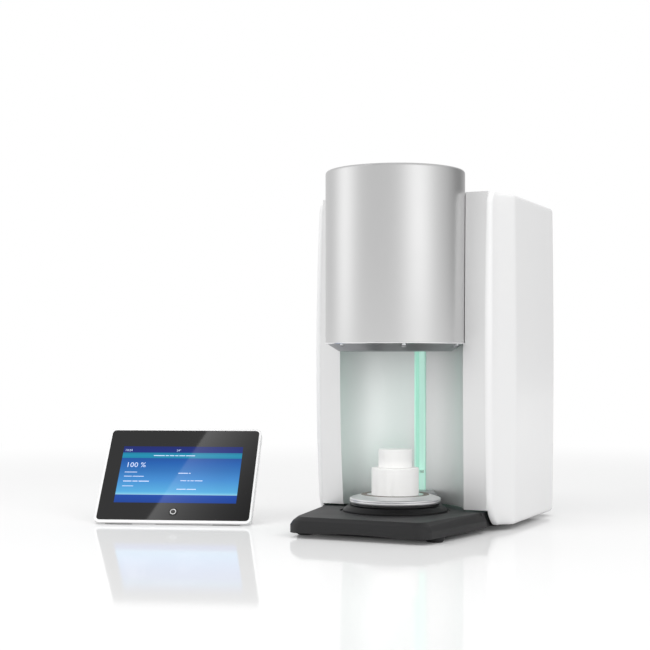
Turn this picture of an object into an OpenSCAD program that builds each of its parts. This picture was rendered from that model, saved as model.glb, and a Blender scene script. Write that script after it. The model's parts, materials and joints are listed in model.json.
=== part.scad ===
// Bench furnace for sintering and glazing dental crowns, with its loose touch panel.
// Millimetres. The origin is on the bench under the axis of the drum, +Z is up and
// the niche faces -Y. The firing chamber hangs in the drum, and a lift carries the
// door plate with its two insulating stones up through the niche to close it.

/* [Drum and firing chamber] */
// Outer radius of the drum
drum_r = 98; // [94:0.5:104]
// Height of the drum's lower rim above the bench
drum_z = 263; // [255:1:275]
// Height of the drum's top above the bench
drum_top = 504; // [490:1:530]
// Wall of the drum
drum_wall = 2.5; // [1.5:0.1:4]
// Radius of the round on the drum's top edge
drum_round = 5; // [3:0.5:8]
// Radius of the chamber's mouth and bore
chamber_r = 37; // [36:0.5:42]
// How far the chamber's mouth stands below the drum's rim
mouth_drop = 11; // [8:0.5:16]
// Inner height of the muffle above the drum's floor
muffle_h = 98; // [90:1:110]
// Wall of the ceramic muffle
muffle_wall = 6; // [4:0.5:8]
// Mean radius of the copper coil
coil_r = 51.5; // [50:0.5:54]
// Radius of the coil's copper tube
coil_tube_r = 3; // [2:0.25:3.5]
// Turns of the coil
coil_turns = 7; // [5:1:9]
// Distance from one turn to the next
coil_pitch = 10; // [8.5:0.25:12]

/* [Door plate and stones] */
// Radius of the door plate
plate_r = 64; // [58:0.5:68]
// Underside of the door plate above the bench, when the chamber is open
plate_z = 39; // [38:0.5:44]
// Thickness of the door plate at its rim
plate_rim = 8; // [6:0.5:12]
// Height of the plate's sloping top above its rim
plate_rise = 4; // [2:0.5:6]
// Radius of the lower insulating stone
stone_r = 33.3; // [28:0.1:34.5]
// Height of the lower insulating stone
stone_h = 39.6; // [30:0.2:46]
// Radius of the upper insulating stone
small_stone_r = 23.6; // [18:0.1:26]
// Height of the upper insulating stone
small_stone_h = 26; // [18:0.2:30]

/* [Housing] */
// How far each side cover stands out beyond the front column
cover_reach = 24; // [20:0.5:30]
// Height of the housing beside the drum
body_top = 474; // [460:1:484]
// Distance from the drum's axis back to the rear face
rear_y = 295; // [275:1:310]
// Distance from the drum's axis back to the face of the front column, at its top and foot
face_y = 28.5; // [24:0.5:32]
// How far the column's face bulges forward at half its height
face_bow = 10; // [0:0.5:12]
// Width of the front column
column_w = 252; // [240:1:260]
// Wall of the front column
column_wall = 3; // [2:0.25:4]
// Wall of the side covers
cover_wall = 3; // [2:0.25:4]
// Radius of the side covers' lower front corners, seen from the side
cover_low_r = 40; // [25:1:45]
// Radius of the side covers' upper front corners, seen from the side
cover_high_r = 18; // [12:1:25]
// Radius of the long edges of the side covers
cover_edge_r = 6; // [4:0.5:10]
// Width of the slot that the lift arm runs in
slot_w = 17.5; // [15:0.5:20]

/* [Base] */
// Height of the base's top above the bench
base_top = 28; // [26:0.5:32]
// Height of the rubber feet
foot_h = 10; // [6:0.5:12]
// Radius of the rubber feet
foot_r = 12; // [8:0.5:14]
// How far the base reaches in front of the drum's axis
base_front = 137; // [125:1:150]
// Width of the base at its front edge
base_front_w = 206; // [190:1:216]
// Width of the base where it meets the column
base_rear_w = 252; // [246:1:260]
// Radius of the base's front corners
base_corner_r = 18; // [10:1:22]
// Outer radius of the dark ring that the plate rests over
ring_r = 73.5; // [70:0.5:78]

/* [Lift] */
// Radius of the guide rods
rod_r = 5; // [4:0.5:6]
// Distance between the guide rods
rod_span = 60; // [54:1:66]
// Radius of the lead screw
screw_r = 6; // [5:0.5:7]
// Distance from the drum's axis back to the lead screw
lift_y = 132; // [130:1:140]

/* [Touch panel] */
// Width of the panel's glass
glass_w = 227; // [200:1:240]
// Height of the panel's glass, along its slope
glass_h = 161; // [140:1:170]
// Width of the white rim around the glass
rim_w = 3.2; // [2:0.2:6]
// Thickness of the panel
panel_t = 12; // [11:0.5:16]
// How far the panel leans back from upright, in degrees
panel_lean = 38.7; // [30:0.5:50]
// How far the panel is turned to face right, in degrees
panel_turn = 19.2; // [0:0.5:30]
// Distance from the drum's axis left to the middle of the panel's foot
panel_x = 320.5; // [310:0.5:360]
// Distance from the drum's axis forward to the panel's foot
panel_y = 76; // [60:1:110]
// Width of the fold-out leg behind the panel
leg_w = 90; // [60:1:120]
// How far the fold-out leg slopes back from upright, in degrees
leg_slope = 8; // [4:0.5:12]

/* [Hidden] */
// Gap between curved faces of neighbouring pieces
gap = 0.3;
// Running clearance of a shaft in its bore
run = 0.05;

// Levels of the chamber and of the door plate
mouth_z = drum_z - mouth_drop;
chamber_floor = drum_z + 6;
chamber_roof = chamber_floor + muffle_h;
muffle_top = chamber_roof + muffle_wall;
plate_rim_z = plate_z + plate_rim;
plate_top = plate_rim_z + plate_rise;
recess_depth = 2;
stone_z = plate_top - recess_depth;
small_stone_z = stone_z + stone_h;
seal_r = [chamber_r + 3, chamber_r + 11];
seal_h = 2.1;
seal_proud = 0.6;
lift_travel = mouth_z - plate_top - seal_proud - gap;
echo(lift_travel = lift_travel);

// Drum
drum_h = drum_top - drum_z;
drum_inner_r = drum_r - drum_wall;
cap_lip_r = drum_r - 10;
flange_drop = 1;
screw_count = 6;
drum_screw_r = drum_inner_r - 4.7;
drum_screw_shank = 1.9;
drum_screw_pit = 4.2;
jacket_top = drum_top - 24;
jacket_r = coil_r + coil_tube_r + 2;
probe_r = 2.6;

// Column
niche_r = drum_r - 2;
recess_r = drum_r + 0.6;
column_z = base_top + 2.5;
column_back_r = niche_r + column_wall;
ledge_z = drum_z - 4;
slot_top = ledge_z - 6;
top_t = 4;
column_top = body_top - top_t;

// Side covers
seam_x = column_w / 2;
body_w = column_w + 2 * cover_reach;
cover_z = 6;
cover_top = body_top + 1;
cover_rear_r = 10;
cover_flare = 14.5;
cover_taper = 4;
cover_bow = 2;
crease_y = 85;
rear_seam_x = body_w / 2 - cover_taper - cover_rear_r - 14;

// Lift
carriage_z = base_top + 12;
carriage_h = 32;
carriage_w = rod_span + 28;
carriage_y = [lift_y - 16, lift_y + 16];
arm_t = 9;
arm_z = plate_z - 2;
arm_h = 10;
yoke_half = 20;
yoke_y = 90;
bracket_t = 6;
upper_bracket_z = carriage_z + carriage_h + lift_travel + 24;
channel_w = 108;
channel_wall = 2;
channel_top = 372;
nut_r = 11;
bush_r = rod_r + 3;
motor_w = 42;
motor_h = 48;
shaft_r = 2.5;

// Rear
panel_out_y = rear_y - cover_wall;
sheet_t = 2;
post_w = 12;
screw_x = rear_seam_x - post_w;
screw_levels = [40, 100, 200, 320, 440];
fan_z = 380;
fan_w = 92;
fan_d = 25;
fan_bore_r = 43;
fan_axle_r = 2;
inlet_w = 30;
inlet_rim = 4;
inlet_x = inlet_w / 2 + inlet_rim + 3 + post_w / 2 - screw_x;
inlet_z = 66;
inlet_h = 70;
inlet_depth = 44;
rocker_w = 18;
rocker_z = 21;
drawer = [20, 22, 9];
drawer_z = 5;
socket_gap = [25, 18, 17];
iec_z = -17;
port_outer = [20, 18, 18];
port_far = screw_x - post_w / 2 - 2 - port_outer[0] / 2;
port_x = [port_far - 30, port_far];
port_z = 62;
port_mouth = [13, 14, 11];

// Touch panel
rim_low = rim_w + 1.5;
panel_round = 9;
chamfer_y = 4;
chamfer_z = 3;
pad_h = 0.8;
foot_drop = rim_low * cos(panel_lean) + chamfer_z * sin(panel_lean);
panel_z = foot_drop + pad_h;
glass_t = 1.8;
screen_w = 183;
screen_h = 101;
screen_y = 30;
button_y = 14.5;
button_r = 5.8;
hinge_y = 112;
hinge_z = -panel_t - 5;
hinge_up = hinge_y * cos(panel_lean) + hinge_z * sin(panel_lean) + panel_z;
leg_t = 4;
leg_open = panel_lean + leg_slope;
leg_l = (hinge_up - leg_t / 2 * sin(leg_slope)) / cos(leg_slope);
pin_r = 2;

smooth = 96;

// A solid of revolution about the drum's axis
module turned(points) {
    rotate_extrude($fn = smooth) polygon(points);
}

// A flat outline of radius r and height h whose outer top corner is rounded by c
module can_profile(r, h, c) {
    square([r - c, h]);
    square([r, h - c]);
    translate([r - c, h - c]) circle(c, $fn = smooth);
}

// A rectangle centred on the origin with rounded corners
module rounded(w, h, r) {
    square([w - 2 * r, h], center = true);
    square([w, h - 2 * r], center = true);
    for (x = [-1, 1], y = [-1, 1])
        translate([x * (w / 2 - r), y * (h / 2 - r)]) circle(r, $fn = 48);
}

// The front part of the base in plan, with straight sides that widen to the rear
module base_plan(front_half, rear_half, front) {
    hull() {
        for (s = [-1, 1]) {
            translate([s * (front_half - base_corner_r), base_corner_r - front])
                circle(base_corner_r, $fn = 32);
            translate([s * (rear_half - 4), face_y - 4]) circle(4, $fn = 32);
        }
    }
}

deck_half = column_w / 2 - 4;
deck_end = panel_out_y - sheet_t;
pocket_w = 50;
pocket_l = 52;
arch_w = 120;
arch_h = 3;
arch_r = (arch_w * arch_w / 4 + arch_h * arch_h) / (2 * arch_h);

module base_plate() {
    color("#3c3c3e")
    difference() {
        union() {
            hull() {
                translate([0, 0, foot_h]) linear_extrude(4)
                    base_plan(base_front_w / 2, base_rear_w / 2, base_front);
                translate([0, 0, base_top - 8]) linear_extrude(1)
                    base_plan(base_front_w / 2 - 4, base_rear_w / 2 - 4, base_front - 1);
                translate([0, 0, base_top - 1]) linear_extrude(1)
                    base_plan(base_front_w / 2 - 9, base_rear_w / 2 - 6, base_front - 7);
            }
            translate([-deck_half, face_y - 10, foot_h])
                cube([2 * deck_half, deck_end - face_y + 10, base_top - foot_h]);
            translate([0, 0, foot_h]) linear_extrude(2.5) inside_covers(foot_h);
        }
        for (x = [-1, 0, 1], y = [-68 : pocket_l + 12 : deck_end - 34])
            translate([x * (pocket_w + 8) - pocket_w / 2, y - pocket_l / 2, foot_h - 1])
                cube([pocket_w, pocket_l, base_top - 5 - foot_h + 1]);
        translate([0, -base_front - 1, foot_h + arch_h - arch_r])
            rotate([-90, 0, 0]) cylinder(r = arch_r, h = 36, $fn = 360);
        translate([0, 0, base_top - 2]) difference() {
            cylinder(r = ring_r + 4, h = 3, $fn = smooth);
            translate([0, 0, -1]) cylinder(r = ring_r + gap, h = 5, $fn = smooth);
        }
    }
}

foot_front = [base_front_w / 2 - 8, 45 - base_front];
foot_rear = [seam_x - 22, rear_y - 41];

module base_feet() {
    color("#151515")
    for (s = [-1, 1], p = [foot_front, foot_rear])
        translate([s * p[0], p[1], 0])
            rotate_extrude($fn = smooth)
                polygon([[0, 0], [foot_r - 1.5, 0], [foot_r, 1.5], [foot_r, foot_h], [0, foot_h]]);
}

module dock_ring() {
    inner = plate_r - 4;
    color("#4a4a4c")
    turned([[inner, base_top], [ring_r, base_top], [ring_r, base_top + 2],
        [ring_r - 7, arm_z - 1], [inner, arm_z - 1]]);
}

// The height where the column's face bulges most, and the face's distance from the drum's axis at z
face_mid = (cover_z + body_top) / 2;
function face_at(z) = face_y - face_bow * (1 - pow((z - face_mid) / (face_mid - cover_z), 2));

// Everything that lies more than d behind the column's bulging face
module behind_face(d) {
    steps = 16;
    low = column_z - 1;
    step = (body_top + 1 - low) / steps;
    translate([-column_w / 2 - 1, 0, 0]) rotate([90, 0, 90]) linear_extrude(column_w + 2)
        polygon(concat([for (i = [0 : steps]) [face_at(low + i * step) + d, low + i * step]],
            [[recess_r + 20, body_top + 1], [recess_r + 20, low]]));
}

// The column in plan without its face: a round wall between two radii and the side returns
module column_plan(r, back_r) {
    start = face_y - face_bow - 1;
    difference() {
        union() {
            intersection() {
                circle(back_r, $fn = 180);
                translate([-column_w / 2, start]) square([column_w, back_r]);
            }
            for (s = [-1, 1])
                translate([s * (column_w - column_wall) / 2 - column_wall / 2, start])
                    square([column_wall, 44]);
        }
        circle(r, $fn = 180);
    }
}

module front_column() {
    color("#cfd0d1")
    difference() {
        intersection() {
            behind_face(0);
            union() {
                translate([0, 0, column_z]) linear_extrude(ledge_z - column_z)
                    column_plan(niche_r, column_back_r);
                translate([0, 0, ledge_z]) linear_extrude(drum_z - ledge_z)
                    column_plan(niche_r, recess_r + column_wall);
                translate([0, 0, drum_z]) linear_extrude(column_top - drum_z)
                    column_plan(recess_r, recess_r + column_wall);
                difference() {
                    translate([-column_w / 2, 0, column_z])
                        cube([column_w, face_y + column_wall, body_top - column_z]);
                    behind_face(column_wall);
                }
            }
        }
        translate([0, 0, column_z - 1])
            cylinder(r = niche_r, h = drum_z - column_z + 1, $fn = 180);
        translate([0, 0, drum_z])
            cylinder(r = recess_r, h = body_top - drum_z + 1, $fn = 180);
        translate([-slot_w / 2, 0, column_z - 1])
            cube([slot_w, column_back_r + 1, slot_top - column_z + 1]);
    }
}

module light_guides() {
    bar_t = 2;
    color("#9ad3be")
    for (s = [-1, 1])
        translate([s * (slot_w / 2 - bar_t / 2 - 0.15) - bar_t / 2, niche_r - 2, column_z + 3])
            cube([bar_t, 15, slot_top - column_z - 3]);
}

module drum_shell() {
    color("#c4c5c7")
    translate([0, 0, drum_z])
    rotate_extrude($fn = 180) difference() {
        can_profile(drum_r, drum_h, drum_round);
        translate([0, -1])
            can_profile(drum_inner_r, drum_h - drum_wall + 1, drum_round - drum_wall);
        translate([0, -1]) square([cap_lip_r, drum_h + 2]);
    }
}

module drum_cap() {
    flange_r = drum_r - drum_round - gap;
    boss_r = cap_lip_r - gap;
    top = drum_top - 0.6;
    under = drum_top - drum_wall;
    color("#8d8e90")
    difference() {
        turned([[0, under - 2.5], [flange_r, under - 2.5], [flange_r, under],
            [boss_r, under], [boss_r, top], [0, top]]);
        for (a = [0 : 15 : 345])
            rotate([0, 0, a]) translate([42, -1.6, under - 5]) cube([34, 3.2, 10]);
    }
}

module drum_floor() {
    rim = drum_inner_r - gap;
    low = drum_z - flange_drop;
    color("#5a5b5e")
    difference() {
        turned([[chamber_r, mouth_z], [rim - 16, mouth_z], [rim, low], [rim, chamber_floor],
            [chamber_r, chamber_floor]]);
        for (i = [0 : screw_count - 1])
            rotate([0, 0, 30 + i * 360 / screw_count]) translate([0, -drum_screw_r, 0]) {
                translate([0, 0, mouth_z - 1])
                    cylinder(r = drum_screw_pit, h = low - mouth_z + 1, $fn = 32);
                translate([0, 0, low - 1])
                    cylinder(r = drum_screw_shank + 0.1, h = chamber_floor - low + 2, $fn = 32);
            }
    }
}

module drum_screws() {
    low = drum_z - flange_drop;
    color("#d8d9da")
    for (i = [0 : screw_count - 1])
        rotate([0, 0, 30 + i * 360 / screw_count]) translate([0, -drum_screw_r, 0]) {
            difference() {
                translate([0, 0, low - 2.4]) cylinder(r = 3.4, h = 2.4, $fn = 32);
                translate([0, 0, low - 3]) cylinder(r = 1.7, h = 2, $fn = 6);
            }
            translate([0, 0, low])
                cylinder(r = drum_screw_shank, h = chamber_floor - low, $fn = 32);
        }
}

module insulation_jacket() {
    outer = drum_inner_r - 2 * gap;
    bore = probe_r + gap;
    color("#f1efe8")
    turned([[jacket_r, chamber_floor], [outer, chamber_floor], [outer, jacket_top],
        [bore, jacket_top], [bore, muffle_top + gap], [jacket_r, muffle_top + gap]]);
}

module muffle() {
    outer = chamber_r + muffle_wall;
    bore = probe_r + gap;
    color("#ece6da")
    turned([[chamber_r, chamber_floor], [outer, chamber_floor], [outer, muffle_top],
        [bore, muffle_top], [bore, chamber_roof], [chamber_r, chamber_roof]]);
}

// A ring of the coil's round tube, at turn t from the coil's lower end
coil_sides = 8;
coil_steps = 24;
coil_z = chamber_floor + 12 + coil_tube_r;
function coil_ring(t) = let (
    slope = atan(coil_pitch / (2 * PI * coil_r)),
    a = 360 * t) [for (i = [0 : coil_sides - 1]) let (
        b = 360 * i / coil_sides,
        out = coil_tube_r * cos(b),
        up = -coil_tube_r * sin(b))
        [(coil_r + out) * cos(a) + up * sin(slope) * sin(a),
         (coil_r + out) * sin(a) - up * sin(slope) * cos(a),
         coil_z + coil_pitch * t + up * cos(slope)]];

// A closed tube through rings of n points each
module tube(rings) {
    n = len(rings[0]);
    last = len(rings) - 1;
    polyhedron(
        points = [for (ring = rings, p = ring) p],
        faces = concat(
            [[for (i = [0 : n - 1]) i]],
            [[for (i = [0 : n - 1]) last * n + n - 1 - i]],
            [for (k = [0 : last - 1], i = [0 : n - 1], h = [0, 1]) let (
                j = (i + 1) % n, lo = k * n, hi = lo + n)
                h == 0 ? [lo + i, hi + i, hi + j] : [lo + i, hi + j, lo + j]]));
}

module heating_coil() {
    echo(coil_gap = coil_pitch * cos(atan(coil_pitch / (2 * PI * coil_r))) - 2 * coil_tube_r);
    color("#c07a4a")
    tube([for (k = [0 : coil_turns * coil_steps]) coil_ring(k / coil_steps)]);
}

module coil_supports() {
    inner = chamber_r + muffle_wall + gap;
    depth = coil_r - coil_tube_r - gap - inner;
    color("#e9e4d6")
    for (a = [45 : 90 : 315])
        rotate([0, 0, a]) translate([inner, -3, chamber_floor])
            cube([depth, 6, coil_turns * coil_pitch + 24]);
}

module thermocouple() {
    color("#b9a58a")
    union() {
        translate([0, 0, chamber_roof - 10])
            cylinder(r = probe_r, h = jacket_top - chamber_roof + 11, $fn = 32);
        translate([0, 0, jacket_top]) cylinder(r = 8, h = 12, $fn = 48);
    }
}

// Inset of a rounded edge of radius r at distance d from where it ends
function edge_inset(d, r) = d >= r ? 0 : r - sqrt(r * r - (r - d) * (r - d));

// The right cover in plan, from the front seam round to the rear seam: edge is the inset of its rounded
// edges, bow that of its barrel shape, front its face's distance from the drum's axis, deep the distance
// inwards
function side_path(edge, bow, front, deep) = let (
    x = body_w / 2 - edge - bow - deep,
    r1 = x - cover_flare - seam_x - 0.4,
    r2 = cover_rear_r - deep,
    y1 = front + deep,
    y2 = rear_y - edge - deep) concat(
        [[seam_x, y1]],
        [for (a = [0 : 15 : 90]) [seam_x + 0.4 + r1 * sin(a), y1 + r1 - r1 * cos(a)]],
        [[x, crease_y]],
        [for (a = [0 : 15 : 90]) [x - cover_taper - r2 + r2 * cos(a), y2 - r2 + r2 * sin(a)]],
        [[rear_seam_x, y2]]);

function cover_path(z, deep) = let (
    low = z - cover_z,
    high = cover_top - z,
    bow = cover_bow * pow((low - high) / (cover_top - cover_z), 2))
        side_path(edge_inset(low, cover_edge_r) + edge_inset(high, cover_edge_r), bow,
            face_at(z) + edge_inset(low, cover_low_r) + edge_inset(high, cover_high_r), deep);

function backwards(list) = [for (i = [len(list) - 1 : -1 : 0]) list[i]];

edge_angles = [35, 50, 65, 90];
straight = cover_top - cover_high_r - cover_z - cover_low_r;
cover_levels = concat(
    [for (a = edge_angles) cover_z + cover_edge_r * (1 - cos(a))],
    [for (a = [45, 60]) cover_z + cover_low_r * (1 - cos(a))],
    [for (i = [0 : 6]) cover_z + cover_low_r + straight * i / 6],
    [for (a = backwards(edge_angles)) cover_top - cover_edge_r * (1 - cos(a))]);

module side_cover() {
    tube([for (z = cover_levels) concat([for (p = cover_path(z, 0)) [p[0], p[1], z]],
        [for (p = backwards(cover_path(z, cover_wall))) [p[0], p[1], z]])]);
}

module right_cover() {
    color("#f2f2f2")
    side_cover();
}

module left_cover() {
    color("#f2f2f2")
    mirror([1, 0, 0]) side_cover();
}

// The plan of what just fits inside both covers at height z
module inside_covers(z) {
    path = cover_path(z, cover_wall + gap);
    polygon(concat(path, [for (p = backwards(path)) [-p[0], p[1]]]));
}

module top_cover() {
    front = face_y + column_wall;
    half = rear_seam_x - gap;
    color("#e6e6e7")
    translate([0, 0, column_top]) linear_extrude(top_t) difference() {
        union() {
            inside_covers(cover_levels[len(cover_levels) - 1]);
            translate([-seam_x, front]) square([2 * seam_x, cover_high_r]);
            translate([-half, front]) square([2 * half, panel_out_y - front]);
        }
        circle(recess_r, $fn = 180);
    }
}

panel_low = foot_h + 5;
connector_top = 116;
vent_levels = [150, 240];

// A sheet behind the covers' rear seams from one height to another, with a wing behind each cover
module rear_sheet(low, high) {
    wing = 8;
    wing_low = max(low, cover_z + cover_low_r);
    wing_high = min(high, column_top - 20);
    translate([gap - rear_seam_x, deck_end, low])
        cube([2 * (rear_seam_x - gap), sheet_t, high - low]);
    translate([-rear_seam_x - wing, deck_end, wing_low])
        cube([2 * (rear_seam_x + wing), sheet_t, wing_high - wing_low]);
}

module rear_screw_holes(r) {
    for (s = [-1, 1], z = screw_levels)
        translate([s * screw_x, panel_out_y - 12, z]) rotate([-90, 0, 0])
            cylinder(r = r, h = post_w + sheet_t, $fn = 32);
}

module rear_posts() {
    color("#a9abad")
    difference() {
        for (s = [-1, 1])
            translate([s * screw_x - post_w / 2, deck_end - post_w, base_top])
                cube([post_w, post_w, column_top - base_top]);
        rear_screw_holes(drum_screw_shank + 0.1);
    }
}

module rear_panel() {
    color("#b4b6b8")
    difference() {
        rear_sheet(connector_top, column_top);
        rear_screw_holes(drum_screw_shank + 0.1);
        translate([0, deck_end - 1, fan_z]) rotate([-90, 0, 0])
            cylinder(r = fan_bore_r, h = 4, $fn = smooth);
        for (x = [-72 : 12 : 72], z = vent_levels)
            translate([x - 2, deck_end - 1, z]) cube([4, 4, 44]);
    }
}

module connector_plate() {
    color("#aeb0b2")
    difference() {
        rear_sheet(panel_low, connector_top);
        rear_screw_holes(drum_screw_shank + 0.1);
        translate([inlet_x - inlet_w / 2 - gap, deck_end - 1, inlet_z - inlet_h / 2 - gap])
            cube([inlet_w + 2 * gap, 4, inlet_h + 2 * gap]);
        for (x = port_x)
            translate([x - port_outer[0] / 2 - gap, deck_end - 1, port_z - port_outer[2] / 2 - gap])
                cube([port_outer[0] + 2 * gap, 4, port_outer[2] + 2 * gap]);
    }
}

module rear_screws() {
    color("#d8d9da")
    for (s = [-1, 1], z = screw_levels)
        translate([s * screw_x, panel_out_y - 9, z]) rotate([-90, 0, 0]) difference() {
            union() {
                cylinder(r = drum_screw_shank, h = 9, $fn = 32);
                translate([0, 0, 9]) cylinder(r = 3.4, h = 2, $fn = 32);
            }
            translate([0, 0, 9.8]) cylinder(r = 1.7, h = 2, $fn = 6);
        }
}

module fan_frame() {
    color("#2a2a2c")
    translate([0, deck_end, fan_z]) rotate([90, 0, 0]) {
        difference() {
            linear_extrude(fan_d) rounded(fan_w, fan_w, 5);
            translate([0, 0, -1]) cylinder(r = fan_bore_r, h = fan_d + 2, $fn = smooth);
            for (x = [-1, 1], y = [-1, 1])
                translate([x * (fan_w / 2 - 5), y * (fan_w / 2 - 5), -1])
                    cylinder(r = 2.2, h = fan_d + 2, $fn = 24);
        }
        translate([0, 0, fan_d - 3]) cylinder(r = 17, h = 3, $fn = 64);
        for (a = [45 : 90 : 315])
            rotate([0, 0, a]) translate([14, -2, fan_d - 3]) cube([fan_bore_r - 13, 4, 3]);
        translate([0, 0, 5]) cylinder(r = fan_axle_r, h = fan_d - 6, $fn = 32);
    }
}

module fan_rotor() {
    hub_r = 17;
    blade = [24, 20, 1.6];
    color("#333437")
    translate([0, deck_end, fan_z]) rotate([90, 0, 0]) difference() {
        union() {
            translate([0, 0, 3]) cylinder(r = hub_r, h = fan_d - 7, $fn = 64);
            for (a = [0 : 360 / 7 : 359])
                rotate([0, 0, a]) translate([hub_r - 1, 0, fan_d / 2 - 0.5]) rotate([38, 0, 0])
                    translate([0, -blade[1] / 2, -blade[2] / 2]) cube(blade);
        }
        translate([0, 0, 4]) cylinder(r = fan_axle_r + run, h = fan_d, $fn = 32);
    }
}

module fan_guard() {
    wire = 0.9;
    color("#c9cacc")
    translate([0, panel_out_y, fan_z]) rotate([-90, 0, 0]) {
        for (r = [11, 22, 33, 43.5])
            translate([0, 0, 2.0]) rotate_extrude($fn = smooth) translate([r, 0]) circle(wire, $fn = 24);
        for (a = [45 : 90 : 315])
            rotate([0, 0, a]) translate([9, -1, 0]) cube([41, 2, 1.6]);
    }
}

inlet_face = 2.4;

module inlet_space() {
    translate([-inlet_w / 2, -inlet_depth, -inlet_h / 2]) cube([inlet_w, inlet_depth, inlet_h]);
    translate([-inlet_w / 2 - inlet_rim, 0, -inlet_h / 2 - inlet_rim])
        cube([inlet_w + 2 * inlet_rim, inlet_face, inlet_h + 2 * inlet_rim]);
}

module mains_inlet() {
    recess = [rocker_w + 2 * gap, 13, 17];
    color("#1d1d1f")
    translate([inlet_x, panel_out_y, inlet_z]) {
        difference() {
            inlet_space();
            translate([-socket_gap[0] / 2, inlet_face - socket_gap[2], iec_z - socket_gap[1] / 2])
                cube([socket_gap[0], socket_gap[2] + 1, socket_gap[1]]);
            translate([-drawer[0] / 2 - gap, inlet_face - drawer[1] - gap, drawer_z - drawer[2] / 2 - gap])
                cube([drawer[0] + 2 * gap, drawer[1] + 1, drawer[2] + 2 * gap]);
            translate([-recess[0] / 2, inlet_face - recess[1], rocker_z - recess[2] / 2])
                cube([recess[0], recess[1] + 1, recess[2]]);
            translate([-rocker_w / 2 - 2.5, inlet_face - 4, rocker_z]) rotate([0, 90, 0])
                cylinder(r = 1.5 + run, h = rocker_w + 5, $fn = 32);
        }
        for (p = [[-7, 0], [0, 4], [7, 0]])
            translate([p[0] - 1, inlet_face - socket_gap[2] - 1, iec_z + p[1] - 2.5]) cube([2, 13, 5]);
    }
}

module fuse_drawer() {
    color("#2f2f32")
    translate([inlet_x, panel_out_y + inlet_face, inlet_z + drawer_z]) difference() {
        union() {
            translate([-drawer[0] / 2, -drawer[1], -drawer[2] / 2]) cube(drawer);
            translate([-drawer[0] / 2, -0.1, drawer[2] / 2 - 2]) cube([drawer[0], 2, 2]);
        }
        for (s = [-1, 1])
            translate([s * 5, -drawer[1] + 1, 0.8]) rotate([-90, 0, 0]) cylinder(r = 2.7, h = 18, $fn = 32);
    }
}

rocker_tilt = 8;

module power_switch() {
    color("#b3202a")
    translate([inlet_x, panel_out_y + inlet_face - 4, inlet_z + rocker_z]) rotate([rocker_tilt, 0, 0]) {
        translate([-rocker_w / 2, 0, 0]) rotate([90, 0, 90]) linear_extrude(rocker_w) {
            polygon([[-1, -6.4], [4.6, -6.8], [3.6, 0], [4.6, 6.8], [-1, 6.4]]);
            circle(6.4, $fn = 64);
        }
        translate([-rocker_w / 2 - 2, 0, 0]) rotate([0, 90, 0])
            cylinder(r = 1.5, h = rocker_w + 4, $fn = 32);
    }
}

// A socket standing on the control board, its mouth at the rear
module board_socket(x) {
    side = (port_outer[0] - port_mouth[0]) / 2;
    floor = (port_outer[2] - port_mouth[2]) / 2;
    translate([x - port_outer[0] / 2, panel_out_y + 1 - port_outer[1], port_z - port_outer[2] / 2])
    difference() {
        cube(port_outer);
        translate([side, port_outer[1] - port_mouth[1], floor])
            cube([port_mouth[0], port_mouth[1] + 1, port_mouth[2]]);
    }
}

module display_socket() {
    color("#2b2c2f")
    board_socket(port_x[0]);
}

module network_socket() {
    color("#9a9ca0")
    board_socket(port_x[1]);
}

board_t = 1.6;
board_z = port_z - port_outer[2] / 2 - board_t;
board_y = 166;

module control_board() {
    board_x = port_x[0] - port_outer[0] / 2 - 2;
    board_w = port_x[1] + port_outer[0] / 2 - board_x;
    color("#2c6b45")
    union() {
        translate([board_x, board_y, board_z]) cube([board_w, deck_end - 0.5 - board_y, board_t]);
        for (x = [board_x + 5, board_x + board_w - 5], y = [board_y + 5, deck_end - 26])
            translate([x, y, base_top]) cylinder(r = 3, h = board_z - base_top + 0.5, $fn = 32);
        for (x = [0 : 2])
            translate([board_x + 6 + x * 15, board_y + 16, board_z + board_t - 0.5]) cube([11, 11, 3]);
        for (x = [0 : 3])
            translate([board_x + 9 + x * 11, board_y + 46, board_z + board_t - 0.5])
                cylinder(r = 4.5, h = 15, $fn = 32);
    }
}

module power_supply() {
    box = [56, 105, 120];
    color("#8f9295")
    translate([10 - seam_x, lift_y - 32, base_top]) difference() {
        cube(box);
        translate([3, 3, 3]) cube([box[0] - 6, box[1] - 6, box[2] - 5]);
        for (y = [12 : 10 : box[1] - 16], z = [14, 70])
            translate([box[0] - 5, y, z]) cube([8, 5, 40]);
    }
}

module heat_sink() {
    fin_l = 40;
    sink_y = 104;
    sink_w = 52;
    color("#a7a9ac")
    translate([channel_w / 2, sink_y, 150]) {
        cube([6, sink_w, 140]);
        for (i = [0 : 8])
            translate([5, i * (sink_w - 2) / 8, 0]) cube([fin_l, 2, 140]);
    }
}

module lift_channel() {
    half = channel_w / 2;
    color("#b7dfcf")
    translate([-half, lift_y - 28, base_top]) difference() {
        cube([channel_w, 56, channel_top - base_top]);
        translate([channel_wall, -1, -1])
            cube([channel_w - 2 * channel_wall, 57 - channel_wall, channel_top - base_top + 2]);
    }
}

// A cross plate of the lift between the channel's sides
module bracket(z) {
    half = channel_w / 2 - channel_wall;
    translate([-half, lift_y - 24, z]) cube([2 * half, 52 - channel_wall, bracket_t]);
}

module rod_holes(r, z, h) {
    for (s = [-1, 1])
        translate([s * rod_span / 2, lift_y, z]) cylinder(r = r, h = h, $fn = 48);
}

rod_foot = base_top + 2;
screw_foot = base_top + 3;

module lower_bracket() {
    color("#9b9ea1")
    difference() {
        bracket(base_top);
        rod_holes(rod_r + run, rod_foot, bracket_t);
        translate([0, lift_y, screw_foot]) cylinder(r = screw_r + run, h = bracket_t, $fn = 48);
    }
}

module upper_bracket() {
    color("#9b9ea1")
    difference() {
        bracket(upper_bracket_z);
        rod_holes(rod_r + run, upper_bracket_z - 1, bracket_t + 2);
        translate([0, lift_y, upper_bracket_z - 1]) cylinder(r = 8, h = bracket_t + 2, $fn = 48);
    }
}

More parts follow.
